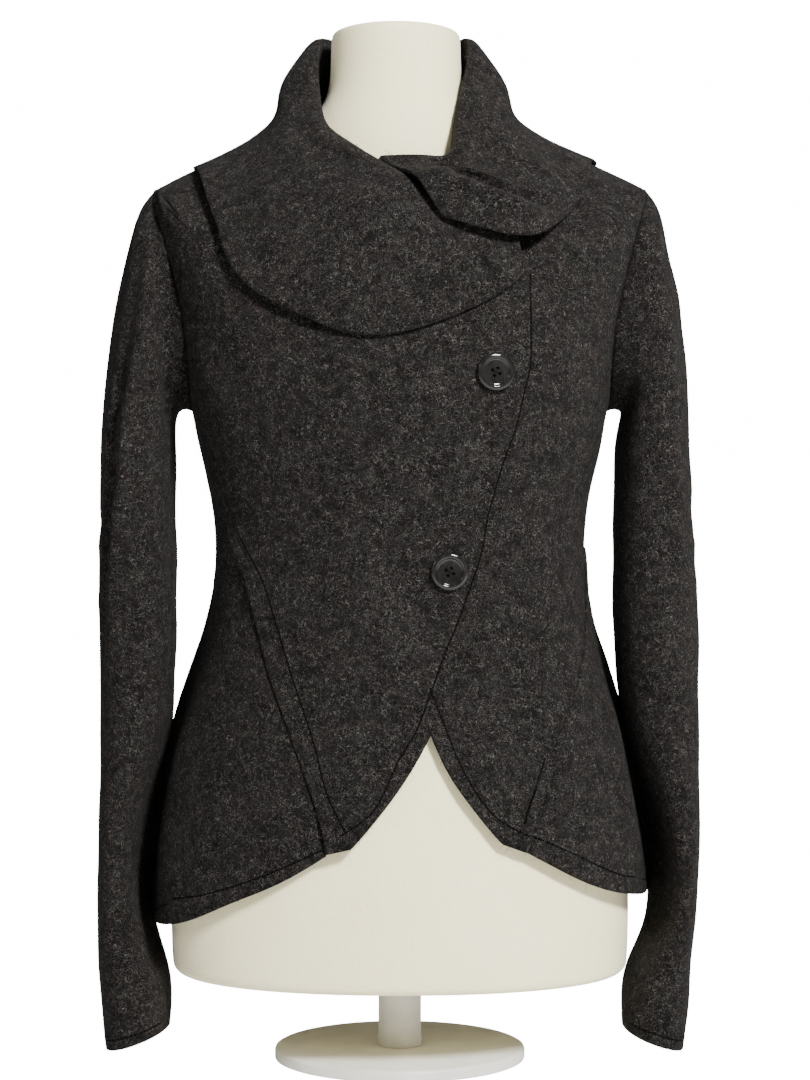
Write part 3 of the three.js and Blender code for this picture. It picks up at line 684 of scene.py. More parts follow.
def smooth_line(points: np.ndarray, step: float, cuts: int = 14) -> np.ndarray:
    """A smooth line through points, cut at even lengths.

    Args:
        points: Points in order, one row each.
        step: Length between the points of the result.
        cuts: How finely the curve is followed between two points.

    Returns:
        The points of the smooth line.
    """
    p = np.asarray(points, float)
    padded = np.vstack([2 * p[0] - p[1], p, 2 * p[-1] - p[-2]])
    dense = []
    for i in range(len(p) - 1):
        a, b, c, d = padded[i : i + 4]
        for t in np.linspace(0, 1, cuts, endpoint=False):
            square, cube = 2 * a - 5 * b + 4 * c - d, 3 * b - a - 3 * c + d
            dense.append(0.5 * (2 * b + (c - a) * t + square * t**2 + cube * t**3))
    dense.append(p[-1])
    dense = np.array(dense)
    run = np.concatenate([[0.0], np.cumsum(np.linalg.norm(np.diff(dense, axis=0), axis=1))])
    count = max(2, int(round(run[-1] / step)) + 1)
    at = np.linspace(0.0, run[-1], count)
    return np.stack([np.interp(at, run, dense[:, k]) for k in range(dense.shape[1])], axis=1)


class ClothFace:
    """The outer faces of some solids, onto which lines are laid."""

    far: float = 2.0
    fall_back: float = 1.9

    def __init__(self, *nodes: str) -> None:
        """Collects the solids' faces.

        Args:
            *nodes: Names of the solids.
        """
        verts: list[Vector] = []
        faces: Faces = []
        for name in nodes:
            mesh = frame["nodes"][name].data
            start = len(verts)
            verts += [v.co.copy() for v in mesh.vertices]
            faces += [tuple(v + start for v in p.vertices) for p in mesh.polygons]
        self.tree = BVHTree.FromPolygons(verts, faces)

    def lay(self, facing: Facing, points: np.ndarray, rise: float = 0.0) -> tuple[np.ndarray, np.ndarray]:
        """Drops flat points onto the cloth.

        Args:
            facing: From where they are dropped.
            points: Rows of across and height in metres; across is X from front or back, else Y.
            rise: How far to stand off the cloth in metres.

        Returns:
            The points on the cloth and the cloth's outward directions there.
        """
        ray = facing.ray
        spots, outs = [], []
        for across, height in points:
            if abs(ray.y) > 0.5:
                origin = Vector((across, -ray.y * self.far, height))
            else:
                origin = Vector((-ray.x * self.far, across, height))
            spot, normal, _, _ = self.tree.ray_cast(origin, ray)
            if spot is None:
                spot, normal, _, _ = self.tree.find_nearest(origin + ray * self.fall_back)
            if normal.dot(ray) > 0:
                normal = -normal
            spots.append(spot + normal * rise)
            outs.append(normal)
        return np.array(spots), np.array(outs)


class ClothPieces(ClothFace):
    """The same for finished pieces of cloth."""

    def __init__(self, *names: str) -> None:
        """Collects the pieces' faces.

        Args:
            *names: Names of the pieces.
        """
        points: list[np.ndarray] = []
        faces: Faces = []
        start = 0
        for name in names:
            mesh = bpy.data.objects[name].data
            points.append(rows(mesh))
            faces += [tuple(v + start for v in p.vertices) for p in mesh.polygons]
            start += len(mesh.vertices)
        self.tree = BVHTree.FromPolygons([Vector(p) for p in np.vstack(points)], faces)


@dataclass(frozen=True)
class Fold:
    """A soft trough or ridge along a line on the cloth, in millimetres.

    Depth is positive for a ridge and negative for a trough. The line is across and height.
    """

    facing: Facing
    line: Line
    width: float
    depth: float
    beside: float = 0.35


@dataclass
class FoldField:
    """All folds of a group of pieces, as one smooth push of the space that they lie in."""

    cloth: ClothFace
    folds: tuple[Fold, ...]
    step: float = 4.0
    tilt: float = 0.5
    rounds: int = 6
    reach: float = 3.0
    side_place: float = 1.5
    side_width: float = 0.75
    start_share: float = 0.06
    run_share: float = 0.88
    taper: float = 0.8
    tracks: list[tuple[np.ndarray, np.ndarray, float, float, float]] = field(default_factory=list)

    def __post_init__(self) -> None:
        """Lays every fold onto the cloth."""
        for fold in self.folds:
            flat = smooth_line(np.array(fold.line) * MM, self.step * MM)
            spots, outs = self.cloth.lay(fold.facing, flat)
            outs = outs + np.array(-fold.facing.ray) * self.tilt
            for _ in range(self.rounds if len(outs) > 2 else 0):
                outs = np.vstack([outs[:1], (outs[:-2] + outs[1:-1] + outs[2:]) / 3, outs[-1:]])
            outs /= np.linalg.norm(outs, axis=1, keepdims=True)
            self.tracks.append((spots, outs, fold.width * MM, fold.depth * MM, fold.beside))

    def push(self, points: np.ndarray) -> np.ndarray:
        """How far each point moves.

        Args:
            points: Points in metres, one row each.

        Returns:
            One movement for each point, in metres.
        """
        total = np.zeros_like(points)
        for spots, outs, width, depth, beside in self.tracks:
            lo, hi = spots.min(0) - self.reach * width, spots.max(0) + self.reach * width
            near = np.where(np.all((points > lo) & (points < hi), axis=1))[0]
            if not len(near):
                continue
            p = points[near]
            best = np.full(len(p), np.inf)
            which = np.zeros(len(p), int)
            for k, spot in enumerate(spots):
                d = ((p - spot) ** 2).sum(1)
                closer = d < best
                best[closer] = d[closer]
                which[closer] = k
            u = np.sqrt(best) / width
            along = which / max(1, len(spots) - 1)
            fade = np.sin(np.pi * np.clip(self.start_share + self.run_share * along, 0, 1)) ** self.taper
            shape = np.exp(-u * u) - beside * np.exp(-(((u - self.side_place) / self.side_width) ** 2))
            total[near] += outs[which] * (depth * fade * shape)[:, None]
        return total


def ripple(points: np.ndarray, size: float, depth: float, seed: int, waves: int = 9) -> np.ndarray:
    """A soft uneven value over space, from crossed waves.

    Args:
        points: Points in metres, one row each.
        size: Typical distance between crests in metres.
        depth: Largest value.
        seed: Which pattern.
        waves: How many waves cross.

    Returns:
        One value for each point.
    """
    rng = np.random.default_rng(seed)
    total = np.zeros(len(points))
    for _ in range(waves):
        way = rng.normal(size=3)
        way *= 2 * math.pi / (np.linalg.norm(way) * size * rng.uniform(0.75, 1.9))
        total += np.sin(points @ way + rng.uniform(0, 2 * math.pi))
    return depth * total / (waves / 2)


@dataclass
class ClothShell:
    """One cut piece of cloth, grown from its solid into a smooth wall with rolled edges."""

    node: str
    levels: int = 2
    rim: float = 0.6
    seam_rim: float = 1.0
    beside: tuple[str, ...] = ()
    ripple_size: float = 0.045
    ripple_depth: float = 0.0007
    seam_gap: float = 0.7
    drawn_in: float = 0.56
    seam_reach: float = 1.1
    quad_bend: float = 38.0
    quad_skew: float = 75.0
    rim_angle: float = 52.0
    pattern: int = 7
    field_of_folds: FoldField | None = None

    def neighbours(self) -> ClothFace:
        """The solids that are sewn to this one.

        Returns:
            Their faces.
        """
        return ClothFace(*(name for name in self.beside if name != self.node))

    def cage(self) -> Object:
        """The solid's mesh as quads with its rims creased.

        Returns:
            A new object that isn't subdivided yet.
        """
        source = frame["nodes"][self.node]
        bm = bmesh.new()
        bm.from_mesh(source.data)
        bmesh.ops.remove_doubles(bm, verts=bm.verts, dist=2e-6)
        bend, skew = math.radians(self.quad_bend), math.radians(self.quad_skew)
        bmesh.ops.join_triangles(bm, faces=bm.faces, angle_face_threshold=bend, angle_shape_threshold=skew)
        layer = bm.edges.layers.float.new("crease_edge")
        others = self.neighbours() if self.beside else None
        for edge in bm.edges:
            if len(edge.link_faces) == 2 and edge.calc_face_angle(0.0) > math.radians(self.rim_angle):
                edge[layer] = self.rim
                if others is not None:
                    ends = [others.tree.find_nearest(v.co)[3] for v in edge.verts]
                    if max(ends) < self.seam_reach * MM:
                        edge[layer] = self.seam_rim
        mesh = bpy.data.meshes.new(self.node + "_cage")
        bm.to_mesh(mesh)
        bm.free()
        return in_scene(self.node + "_cage", mesh)

    def smoothed(self) -> Mesh:
        """The solid's mesh after rounding.

        Returns:
            A new fine mesh.
        """
        cage = self.cage()
        smooth = cage.modifiers.new("smooth", "SUBSURF")
        smooth.levels = smooth.render_levels = self.levels
        mesh = applied(cage)
        bpy.data.objects.remove(cage)
        return mesh

    def sewn(self, points: np.ndarray) -> np.ndarray:
        """Draws edges that are sewn together up to each other.

        Args:
            points: Points in metres, one row each.

        Returns:
            The points with their seams closed.
        """
        others = self.neighbours()
        made = points.copy()
        for k, point in enumerate(points):
            spot = others.tree.find_nearest(Vector(point), self.seam_gap * MM)[0]
            if spot is not None:
                made[k] += (np.array(spot) - point) * self.drawn_in
        return made

    def build(self, material: Material) -> Object:
        """Makes the piece of cloth.

        Args:
            material: Its finish.

        Returns:
            The piece.
        """
        mesh = self.smoothed()
        points = rows(mesh)
        if self.beside:
            points = self.sewn(points)
        out = points * np.array([1.0, 1.0, 0.0])
        out /= np.maximum(np.linalg.norm(out, axis=1, keepdims=True), 1e-6)
        moved = points + out * ripple(points, self.ripple_size, self.ripple_depth, self.pattern)[:, None]
        if self.field_of_folds is not None:
            moved += self.field_of_folds.push(points)
        mesh.vertices.foreach_set("co", moved.ravel())
        mesh.update()
        return stand_in(mesh, self.node + "_cloth", self.node, material, Slot.WOOL)


@dataclass
class StitchRun:
    """A row of machine stitches along a line on the cloth, each a small sunk loop of thread."""

    name: str
    facing: Facing
    line: Line
    pitch: float = 3.6
    length: float = 2.7
    thick: float = 0.36
    sink: float = 0.02
    sides: int = 6
    dive: float = 0.9
    bow: Line = ((-0.5, 0.35), (-0.32, 0.9), (0.0, 1.0), (0.32, 0.9), (0.5, 0.35))
    shadow_strip_section: Line = ((-0.95, -0.3), (-0.5, 0.14), (0.5, 0.14), (0.95, -0.3))
    on_sleeves: bool = False
    # a run that isn't sewn through gets only its strip of painted seam shadow
    sewn_through: bool = True

    def channel(self, cloth: ClothFace) -> tuple[np.ndarray, Faces]:
        """Makes the narrow strip of painted shade that the stitches lie in, standing in for the shadow of a
        sunk seam.

        Args:
            cloth: What it is laid on.

        Returns:
            Points in metres and faces.
        """
        flat = smooth_line(np.array(self.line) * MM, self.pitch * MM / 2)
        spots, outs = cloth.lay(self.facing, flat)
        along = np.gradient(spots, axis=0)
        over = np.cross(along, outs)
        over /= np.maximum(np.linalg.norm(over, axis=1, keepdims=True), TINY)
        # thin near-black strip hugging the cloth: painted shadow of the seam's groove
        strips = [spots + over * (a * MM) + outs * (h * MM) for a, h in self.shadow_strip_section]
        verts = np.stack(strips, axis=1).reshape(-1, 3)
        faces = []
        for k in range(len(spots) - 1):
            if np.linalg.norm(spots[k + 1] - spots[k]) < 2 * self.pitch * MM:
                faces += [(4 * k + j, 4 * k + 4 + j, 4 * k + 5 + j, 4 * k + 1 + j) for j in range(3)]
        return verts, faces

    def build(self, cloth: ClothFace) -> tuple[np.ndarray, Faces]:
        """Makes the stitches' points and faces.

        Args:
            cloth: What they are sewn through.

        Returns:
            Points in metres and faces.
        """
        flat = smooth_line(np.array(self.line) * MM, self.pitch * MM / 2)
        spots, outs = cloth.lay(self.facing, flat, (self.thick / 2 - self.sink) * MM)
        verts: list[np.ndarray] = []
        faces: Faces = []
        for k in range(1, len(spots) - 1, 2):
            along = spots[k + 1] - spots[k - 1]
            size = np.linalg.norm(along)
            if size < 1e-6 or size > 3 * self.pitch * MM:
                continue
            along /= size
            out = outs[k] - along * outs[k].dot(along)
            out /= max(np.linalg.norm(out), TINY)
            over = np.cross(along, out)
            faces += tube_faces(len(verts), len(self.bow), self.sides)
            for t, r in self.bow:
                drop = -self.thick * self.dive * (2 * abs(t)) ** 3
                middle = spots[k] + along * (t * self.length * MM) + out * (drop * MM)
                radius = self.thick / 2 * r * MM
                verts += [middle + over * (radius * c) + out * (radius * d) for c, d in circle(self.sides)]
        return np.array(verts), faces


@dataclass
class JacketBody:
    """Fronts, sides, backs and the raised bands along the lapped seams."""

    nodes: tuple[str, ...] = (
        "right_front",
        "left_front",
        "right_side",
        "left_side",
        "right_back",
        "left_back",
        "right_seam_band",
        "left_seam_band",
    )
    band_rim: float = 0.25
    band_rise: float = 1.9
    band_sunk: float = -0.15
    band_foot: float = 0.6
    band_wall: float = 1.1
    folds: tuple[Fold, ...] = (
        Fold(Facing.FRONT, ((-150, 560), (-132, 528), (-118, 500)), 15, -1.6),
        Fold(Facing.FRONT, ((150, 575), (136, 540), (128, 505)), 15, -1.5),
        Fold(Facing.FRONT, ((-134, 420), (-112, 408), (-86, 402)), 12, -1.3),
        Fold(Facing.FRONT, ((-128, 392), (-100, 384)), 10, 1.0),
        Fold(Facing.FRONT, ((130, 410), (104, 398), (78, 392)), 12, -1.3),
        Fold(Facing.FRONT, ((96, 350), (84, 300), (78, 250)), 17, -1.6),
        Fold(Facing.FRONT, ((-30, 420), (-22, 360), (-14, 300)), 24, 1.2),
        Fold(Facing.WEARER_RIGHT, ((-34, 262), (-40, 210), (-48, 160), (-54, 112)), 20, 4.5, 0.2),
        Fold(
            Facing.WEARER_RIGHT,
            ((24, 360), (28, 300), (32, 240), (34, 180), (36, 120), (36, 70)),
            24, 15.0, 0.0,
        ),
        Fold(Facing.WEARER_LEFT, ((-34, 280), (-40, 230), (-46, 180), (-52, 130)), 20, 3.5, 0.2),
        Fold(
            Facing.WEARER_LEFT,
            ((22, 370), (27, 310), (31, 250), (33, 200), (35, 150), (36, 90)),
            24, 13.0, 0.0,
        ),
        Fold(Facing.WEARER_LEFT, ((4, 148), (36, 146), (68, 142)), 26, 8.0, 0.0),
        Fold(Facing.WEARER_RIGHT, ((4, 122), (36, 121), (68, 120)), 26, 8.0, 0.0),
        Fold(Facing.BACK, ((-120, 420), (-90, 410), (-60, 408)), 13, -1.8),
        Fold(Facing.BACK, ((118, 428), (88, 414), (56, 412)), 13, -1.8),
        Fold(Facing.BACK, ((-62, 640), (-40, 600), (-34, 560)), 20, 1.2),
        Fold(Facing.BACK, ((64, 632), (46, 590), (36, 552)), 20, 1.2),
    )

    def build(self, palette: Palette) -> list[Object]:
        """Makes the body pieces.

        Args:
            palette: The finishes.

        Returns:
            The pieces.
        """
        field_of_folds = FoldField(ClothFace(*self.nodes), self.folds)
        made = []
        for node in self.nodes:
            shell = ClothShell(node, field_of_folds=field_of_folds, beside=self.nodes + Sleeves.nodes)
            if node.endswith("band"):
                shell.rim = self.band_rim
            made.append(shell.build(palette.wool))
        for side in ("right", "left"):
            self.settle_band(bpy.data.objects[side + "_seam_band_cloth"], ClothPieces(side + "_front_cloth"))
        return made

    def settle_band(self, band: Object, under: ClothFace) -> None:
        """Presses a raised band onto its front.

        Args:
            band: The finished band.
            under: The front below it.
        """
        for vertex in band.data.vertices:
            spot, normal, _, away = under.tree.find_nearest(vertex.co)
            if (vertex.co - spot).dot(normal) < 0:
                normal = -normal
            top = min(1.0, max(0.0, (away - self.band_foot * MM) / (self.band_wall * MM)))
            rise = self.band_sunk + (self.band_rise - self.band_sunk) * top
            vertex.co = spot + normal * (rise * MM)
        band.data.update()


@dataclass
class Sleeves:
    """Both sleeves, open at head and cuff, with the folds of a hanging arm."""

    nodes: tuple[str, ...] = ("right_sleeve", "left_sleeve")
    folds: tuple[Fold, ...] = (
        Fold(
            Facing.FRONT,
            ((-180, 622), (-188, 598), (-192, 553), (-199, 521), (-208, 456), (-215, 370), (-219, 307)),
            7.0, 6.0, 0.0,
        ),
        Fold(
            Facing.FRONT,
            ((-194, 606), (-201, 570), (-209, 521), (-217, 456), (-223, 370), (-225, 307)),
            7.5, -7.5, 0.0,
        ),
        Fold(
            Facing.FRONT,
            ((-175, 604), (-173, 576), (-172, 545), (-173, 512), (-176, 486)),
            7.5, -10.0, 0.0,
        ),
        Fold(Facing.FRONT, ((-176, 560), (-186, 520), (-196, 470)), 11, -1.8),
        Fold(Facing.FRONT, ((-184, 420), (-200, 398), (-214, 388)), 11, -1.7),
        Fold(Facing.FRONT, ((-186, 372), (-204, 352), (-216, 346)), 10, -1.5),
        Fold(Facing.FRONT, ((-196, 210), (-208, 180), (-214, 150)), 12, -1.4),
        Fold(Facing.FRONT, ((180, 600), (190, 560), (194, 520)), 12, -1.8),
        Fold(Facing.FRONT, ((186, 440), (202, 412), (216, 400)), 11, -1.7),
        Fold(Facing.FRONT, ((186, 392), (206, 366), (218, 360)), 10, -1.5),
        Fold(Facing.FRONT, ((197, 214), (210, 184), (216, 150)), 12, -1.4),
        Fold(Facing.WEARER_RIGHT, ((-30, 600), (-12, 540), (-6, 470)), 14, 1.8),
        Fold(Facing.WEARER_RIGHT, ((-36, 420), (-6, 400), (26, 404)), 12, -1.9),
        Fold(Facing.WEARER_RIGHT, ((-34, 380), (0, 366), (30, 376)), 12, -1.5),
        Fold(Facing.WEARER_LEFT, ((-28, 590), (-10, 530), (-4, 476)), 14, 1.8),
        Fold(Facing.WEARER_LEFT, ((-34, 430), (-4, 410), (28, 412)), 12, -1.9),
        Fold(Facing.WEARER_LEFT, ((-32, 388), (2, 372), (30, 384)), 12, -1.5),
        Fold(Facing.BACK, ((-190, 440), (-206, 420), (-218, 414)), 11, -1.6),
        Fold(Facing.BACK, ((190, 446), (206, 424), (218, 420)), 11, -1.6),
    )

    def build(self, palette: Palette) -> list[Object]:
        """Makes the sleeves.

        Args:
            palette: The finishes.

        Returns:
            The sleeves.
        """
        field_of_folds = FoldField(ClothFace(*self.nodes), self.folds)
        return [
            ClothShell(node, field_of_folds=field_of_folds, beside=JacketBody.nodes).build(palette.wool)
            for node in self.nodes
        ]


@dataclass
class WrapCollar:
    """The wide draped collar: the right half laps over, the left half turns out in a flap."""

    nodes: tuple[str, ...] = ("collar_right", "collar_left")
    folds: tuple[Fold, ...] = (
        Fold(Facing.FRONT, ((-92, 690), (-70, 640), (-40, 600)), 18, -1.6),
        Fold(Facing.FRONT, ((-60, 700), (-30, 660), (10, 620)), 16, 1.4),
        Fold(Facing.FRONT, ((98, 700), (98, 688), (106, 670)), 10, 1.8),
        Fold(
            Facing.FRONT,
            ((28, 676), (41, 671), (56, 665), (70, 659), (84, 654), (96, 649), (106, 645)),
            5.5, -15.0, 0.0,
        ),
        Fold(
            Facing.FRONT,
            ((26, 664), (44, 658), (60, 651), (76, 645), (92, 639), (104, 634)),
            7.0, 6.5, 0.0,
        ),
        Fold(
            Facing.FRONT,
            ((-68, 735), (-66, 715), (-56, 697), (-40, 684), (-18, 670), (2, 658), (16, 646)),
            8, 2.6, 0.5,
        ),
        Fold(
            Facing.FRONT,
            (
                (-150, 672), (-140, 646), (-130, 621), (-122, 599), (-104, 581), (-84, 569),
                (-52, 555), (-12, 549), (16, 554), (46, 566), (70, 578), (84, 592),
            ),
            7, 2.4, 0.0,
        ),
        Fold(
            Facing.FRONT,
            ((24, 646), (34, 641), (48, 635), (64, 630), (82, 626), (96, 640)),
            7, 2.0, 0.0,
        ),
        Fold(Facing.FRONT, ((140, 697), (149, 690), (156, 680)), 12, -2.6, 0.0),
        Fold(Facing.BACK, ((-60, 740), (-30, 726), (0, 722)), 14, -1.2),
        Fold(Facing.BACK, ((60, 740), (30, 728), (0, 722)), 14, -1.2),
    )

    def build(self, palette: Palette) -> list[Object]:
        """Makes the collar's halves.

        Args:
            palette: The finishes.

        Returns:
            The two halves.
        """
        field_of_folds = FoldField(ClothFace(*self.nodes), self.folds)
        return [
            ClothShell(node, field_of_folds=field_of_folds, beside=self.nodes).build(palette.wool)
            for node in self.nodes
        ]


@dataclass
class TopStitching:
    """Rows of stitches along the lap edge, hems, cutaway, lapped seams and cuffs."""

    runs: tuple[StitchRun, ...] = (
        StitchRun(
            "lap_edge",
            Facing.FRONT,
            (
                (95, 590), (95, 571), (95, 527), (90, 502), (84, 477), (76, 455), (70, 435), (64, 413),
                (59, 385), (48, 353), (41, 334), (32, 312), (21, 282), (12, 259), (0, 240), (-10, 218),
                (-21, 200), (-42, 185),
            ),
        ),
        StitchRun(
            "hem_right", Facing.FRONT,
            ((-56, 174), (-75, 165), (-102, 153), (-142, 138), (-168, 131)),
        ),
        StitchRun(
            "cutaway_left",
            Facing.FRONT,
            (
                (22, 290), (29, 272), (45, 233), (64, 203), (82, 189), (103, 180), (126, 169),
                (160, 151), (176, 145),
            ),
        ),
        StitchRun(
            "lapped_seam_right", Facing.FRONT,
            ((-118, 398), (-101, 367), (-91, 337), (-78, 296), (-63, 253), (-52, 214), (-39, 188)),
        ),
        StitchRun("lapped_seam_left", Facing.FRONT, ((106, 238), (99, 218), (90, 192))),
        StitchRun(
            "hem_right_side", Facing.WEARER_RIGHT,
            ((-62, 126), (-30, 117), (0, 114.5), (40, 114), (70, 114)),
        ),
        StitchRun("hem_left_side", Facing.WEARER_LEFT, ((-36, 141), (-16, 138), (20, 136), (70, 131))),
        StitchRun(
            "hem_back", Facing.BACK,
            ((-140, 114), (-72, 112.5), (0, 110.5), (72, 112.5), (140, 114)),
        ),
        # no stitches here: only the strip of painted seam shadow is laid along the centre back
        StitchRun(
            "centre_back_seam",
            Facing.BACK,
            ((0, 610), (0, 540), (0, 440), (0, 330), (0, 240), (0, 160), (0, 112)),
            sewn_through=False,
        ),
        *(
            StitchRun(f"cuff_{name}", facing, line, on_sleeves=True)
            for name, facing, line in (
                ("right_front", Facing.FRONT, ((-221, 20), (-200, 27), (-180, 33))),
                ("left_front", Facing.FRONT, ((214, 20), (194, 27), (173, 33))),
                ("right_back", Facing.BACK, ((-221, 20), (-200, 27), (-180, 33))),
                ("left_back", Facing.BACK, ((214, 20), (194, 27), (173, 33))),
                ("right_side", Facing.WEARER_RIGHT, ((-48, 24), (-12, 19), (24, 24))),
                ("left_side", Facing.WEARER_LEFT, ((-48, 24), (-12, 19), (24, 24))),
            )
        ),
    )
    lines: list[np.ndarray] = field(default_factory=list)

    def seams(self) -> KDTree:
        """Points along every row, for finding what lies near one.

        Returns:
            The points, ready to be searched.
        """
        points = np.vstack(self.lines)
        tree = KDTree(len(points))
        for k, point in enumerate(points):
            tree.insert(Vector(point), k)
        tree.balance()
        return tree

    def build(self, palette: Palette, body: ClothFace, sleeves: ClothFace) -> list[Object]:
        """Makes all the stitches as one piece and the strips of painted seam shadow under them as another.

        Args:
            palette: The finishes.
            body: The finished fronts, sides and backs.
            sleeves: The finished sleeves.

        Returns:
            The stitches and the painted-shadow strips.
        """
        made = []
        for run in self.runs:
            line = smooth_line(np.array(run.line) * MM, MM)
            self.lines.append((sleeves if run.on_sleeves else body).lay(run.facing, line)[0])
        # the second piece is near-black strips of painted shade along the rows
        for name, material in (("top_stitching", palette.thread), ("painted_stitch_shadows", palette.stitch_shadow)):
            verts: list[np.ndarray] = []
            faces: Faces = []
            for run in self.runs:
                if name == "top_stitching" and not run.sewn_through:
                    continue
                cloth = sleeves if run.on_sleeves else body
                v, f = run.build(cloth) if name == "top_stitching" else run.channel(cloth)
                start = sum(len(part) for part in verts)
                verts.append(v)
                faces += [tuple(i + start for i in face) for face in f]
            LOG.info("%s: %d faces", name, len(faces))
            made.append(place(mesh_object(name, np.vstack(verts), faces, material), Slot.WOOL))
        return made


@dataclass
class LooseNap:
    """Short curled fibres that stand off the face of the wool."""

    per_area: float = 68000.0
    shortest: float = 4.0
    longest: float = 9.5
    thin: float = 0.16
    thick: float = 0.34
    stand: float = 0.5
    links: int = 5
    clear: float = 2.2
    hollow: float = 70.0
    lift_off: float = 1.6
    close_by: float = 14.0
    root: float = 0.15
    curl: float = 0.62
    taper: float = 0.55
    arch: tuple[float, float] = (0.12, 0.62)

    def sample(self, mesh: Mesh, rng: np.random.Generator) -> tuple[np.ndarray, np.ndarray]:
        """Picks places on a piece of cloth, evenly by area.

        Args:
            mesh: The cloth's mesh.
            rng: Source of chance.

        Returns:
            Places and the outward directions there.
        """
        mesh.calc_loop_triangles()
        tris = np.zeros(len(mesh.loop_triangles) * 3, int)
        mesh.loop_triangles.foreach_get("vertices", tris)
        points = rows(mesh)
        a, b, c = (points[corner] for corner in tris.reshape(-1, 3).T)
        cross = np.cross(b - a, c - a)
        size = np.linalg.norm(cross, axis=1)
        count = int(size.sum() / 2 * self.per_area)
        pick = rng.choice(len(size), count, p=size / size.sum())
        u, v = rng.random(count), rng.random(count)
        over = u + v > 1
        u[over], v[over] = 1 - u[over], 1 - v[over]
        spots = a[pick] + (b - a)[pick] * u[:, None] + (c - a)[pick] * v[:, None]
        outs = cross[pick] / np.maximum(size[pick], 1e-12)[:, None]
        return spots, outs

    def open_air(
        self, around: ClothFace, inside: ClothFace, spots: np.ndarray, outs: np.ndarray
    ) -> np.ndarray:
        """Which places aren't covered by another layer close by or inside a hollow.

        Args:
            around: Everything that can cover them.
            inside: What a hidden inner face looks at from across a hollow.
            spots: Places.
            outs: Outward directions.

        Returns:
            True for each place in the open.
        """
        free = np.zeros(len(spots), bool)
        for k, (spot, out) in enumerate(zip(spots, outs)):
            way = Vector(out)
            start = Vector(spot) + way * (self.lift_off * MM)
            free[k] = (
                around.tree.ray_cast(start, way, self.close_by * MM)[0] is None
                and inside.tree.ray_cast(start, way, self.hollow * MM)[0] is None
            )
        return free

    def off_seams(self, seams: KDTree, spots: np.ndarray) -> np.ndarray:
        """Which places are clear of the rows of stitches.

        Args:
            seams: Points along every row.
            spots: Places.

        Returns:
            True for each place that keeps its fibre.
        """
        return np.array([seams.find(Vector(spot))[2] > self.clear * MM for spot in spots])

    def grow(
        self,
        piece: Object,
        around: ClothFace,
        inside: ClothFace,
        seams: KDTree,
        material: Material,
        seed: int,
    ) -> None:
        """Makes the loose fibres of one piece of cloth.

        Args:
            piece: The cloth.
            around: Everything that can cover it.
            inside: What its hidden inner face looks at.
            seams: Points along every row of stitches.
            material: Finish of the fibres.
            seed: Start of the chance numbers.
        """
        rng = np.random.default_rng(seed)
        spots, outs = self.sample(piece.data, rng)
        keep = self.open_air(around, inside, spots, outs) & self.off_seams(seams, spots)
        spots, outs = spots[keep], outs[keep]
        n = len(spots)
        way = np.cross(outs, rng.normal(size=(n, 3)))
        way /= np.maximum(np.linalg.norm(way, axis=1, keepdims=True), TINY)
        length = rng.uniform(self.shortest, self.longest, n) * MM
        width = rng.uniform(self.thin, self.thick, n) * MM
        lift = rng.gamma(2.0, self.stand / 2, n) * MM
        curl = rng.normal(0.0, self.curl, n)
        verts = np.zeros((n, self.links + 1, 2, 3))
        at = spots - outs * (self.root * MM)
        for k in range(self.links + 1):
            t = k / self.links
            side = np.cross(outs, way)
            rise = lift * math.sin(math.pi * (self.arch[0] + self.arch[1] * t))
            middle = at + outs * rise[:, None]
            half = (width * (1.0 - self.taper * t) / 2)[:, None]
            verts[:, k, 0] = middle - side * half
            verts[:, k, 1] = middle + side * half
            at = at + way * (length / self.links)[:, None]
            way = way * np.cos(curl)[:, None] + side * np.sin(curl)[:, None]
        start = np.arange(n)[:, None] * (self.links + 1) * 2
        quads = [start + np.array([[2 * k, 2 * k + 1, 2 * k + 3, 2 * k + 2]]) for k in range(self.links)]
        faces = np.stack(quads, axis=1).reshape(-1, 4)
        mesh = bpy.data.meshes.new(piece.name.replace("_cloth", "_nap"))
        mesh.vertices.add(verts.size // 3)
        mesh.vertices.foreach_set("co", verts.ravel())
        mesh.loops.add(faces.size)
        mesh.loops.foreach_set("vertex_index", faces.ravel())
        mesh.polygons.add(len(faces))
        mesh.polygons.foreach_set("loop_start", np.arange(0, faces.size, 4))
        mesh.update(calc_edges=True)
        mesh.shade_smooth()
        mesh.materials.append(material)
        place(in_scene(mesh.name, mesh), Slot.WOOL)


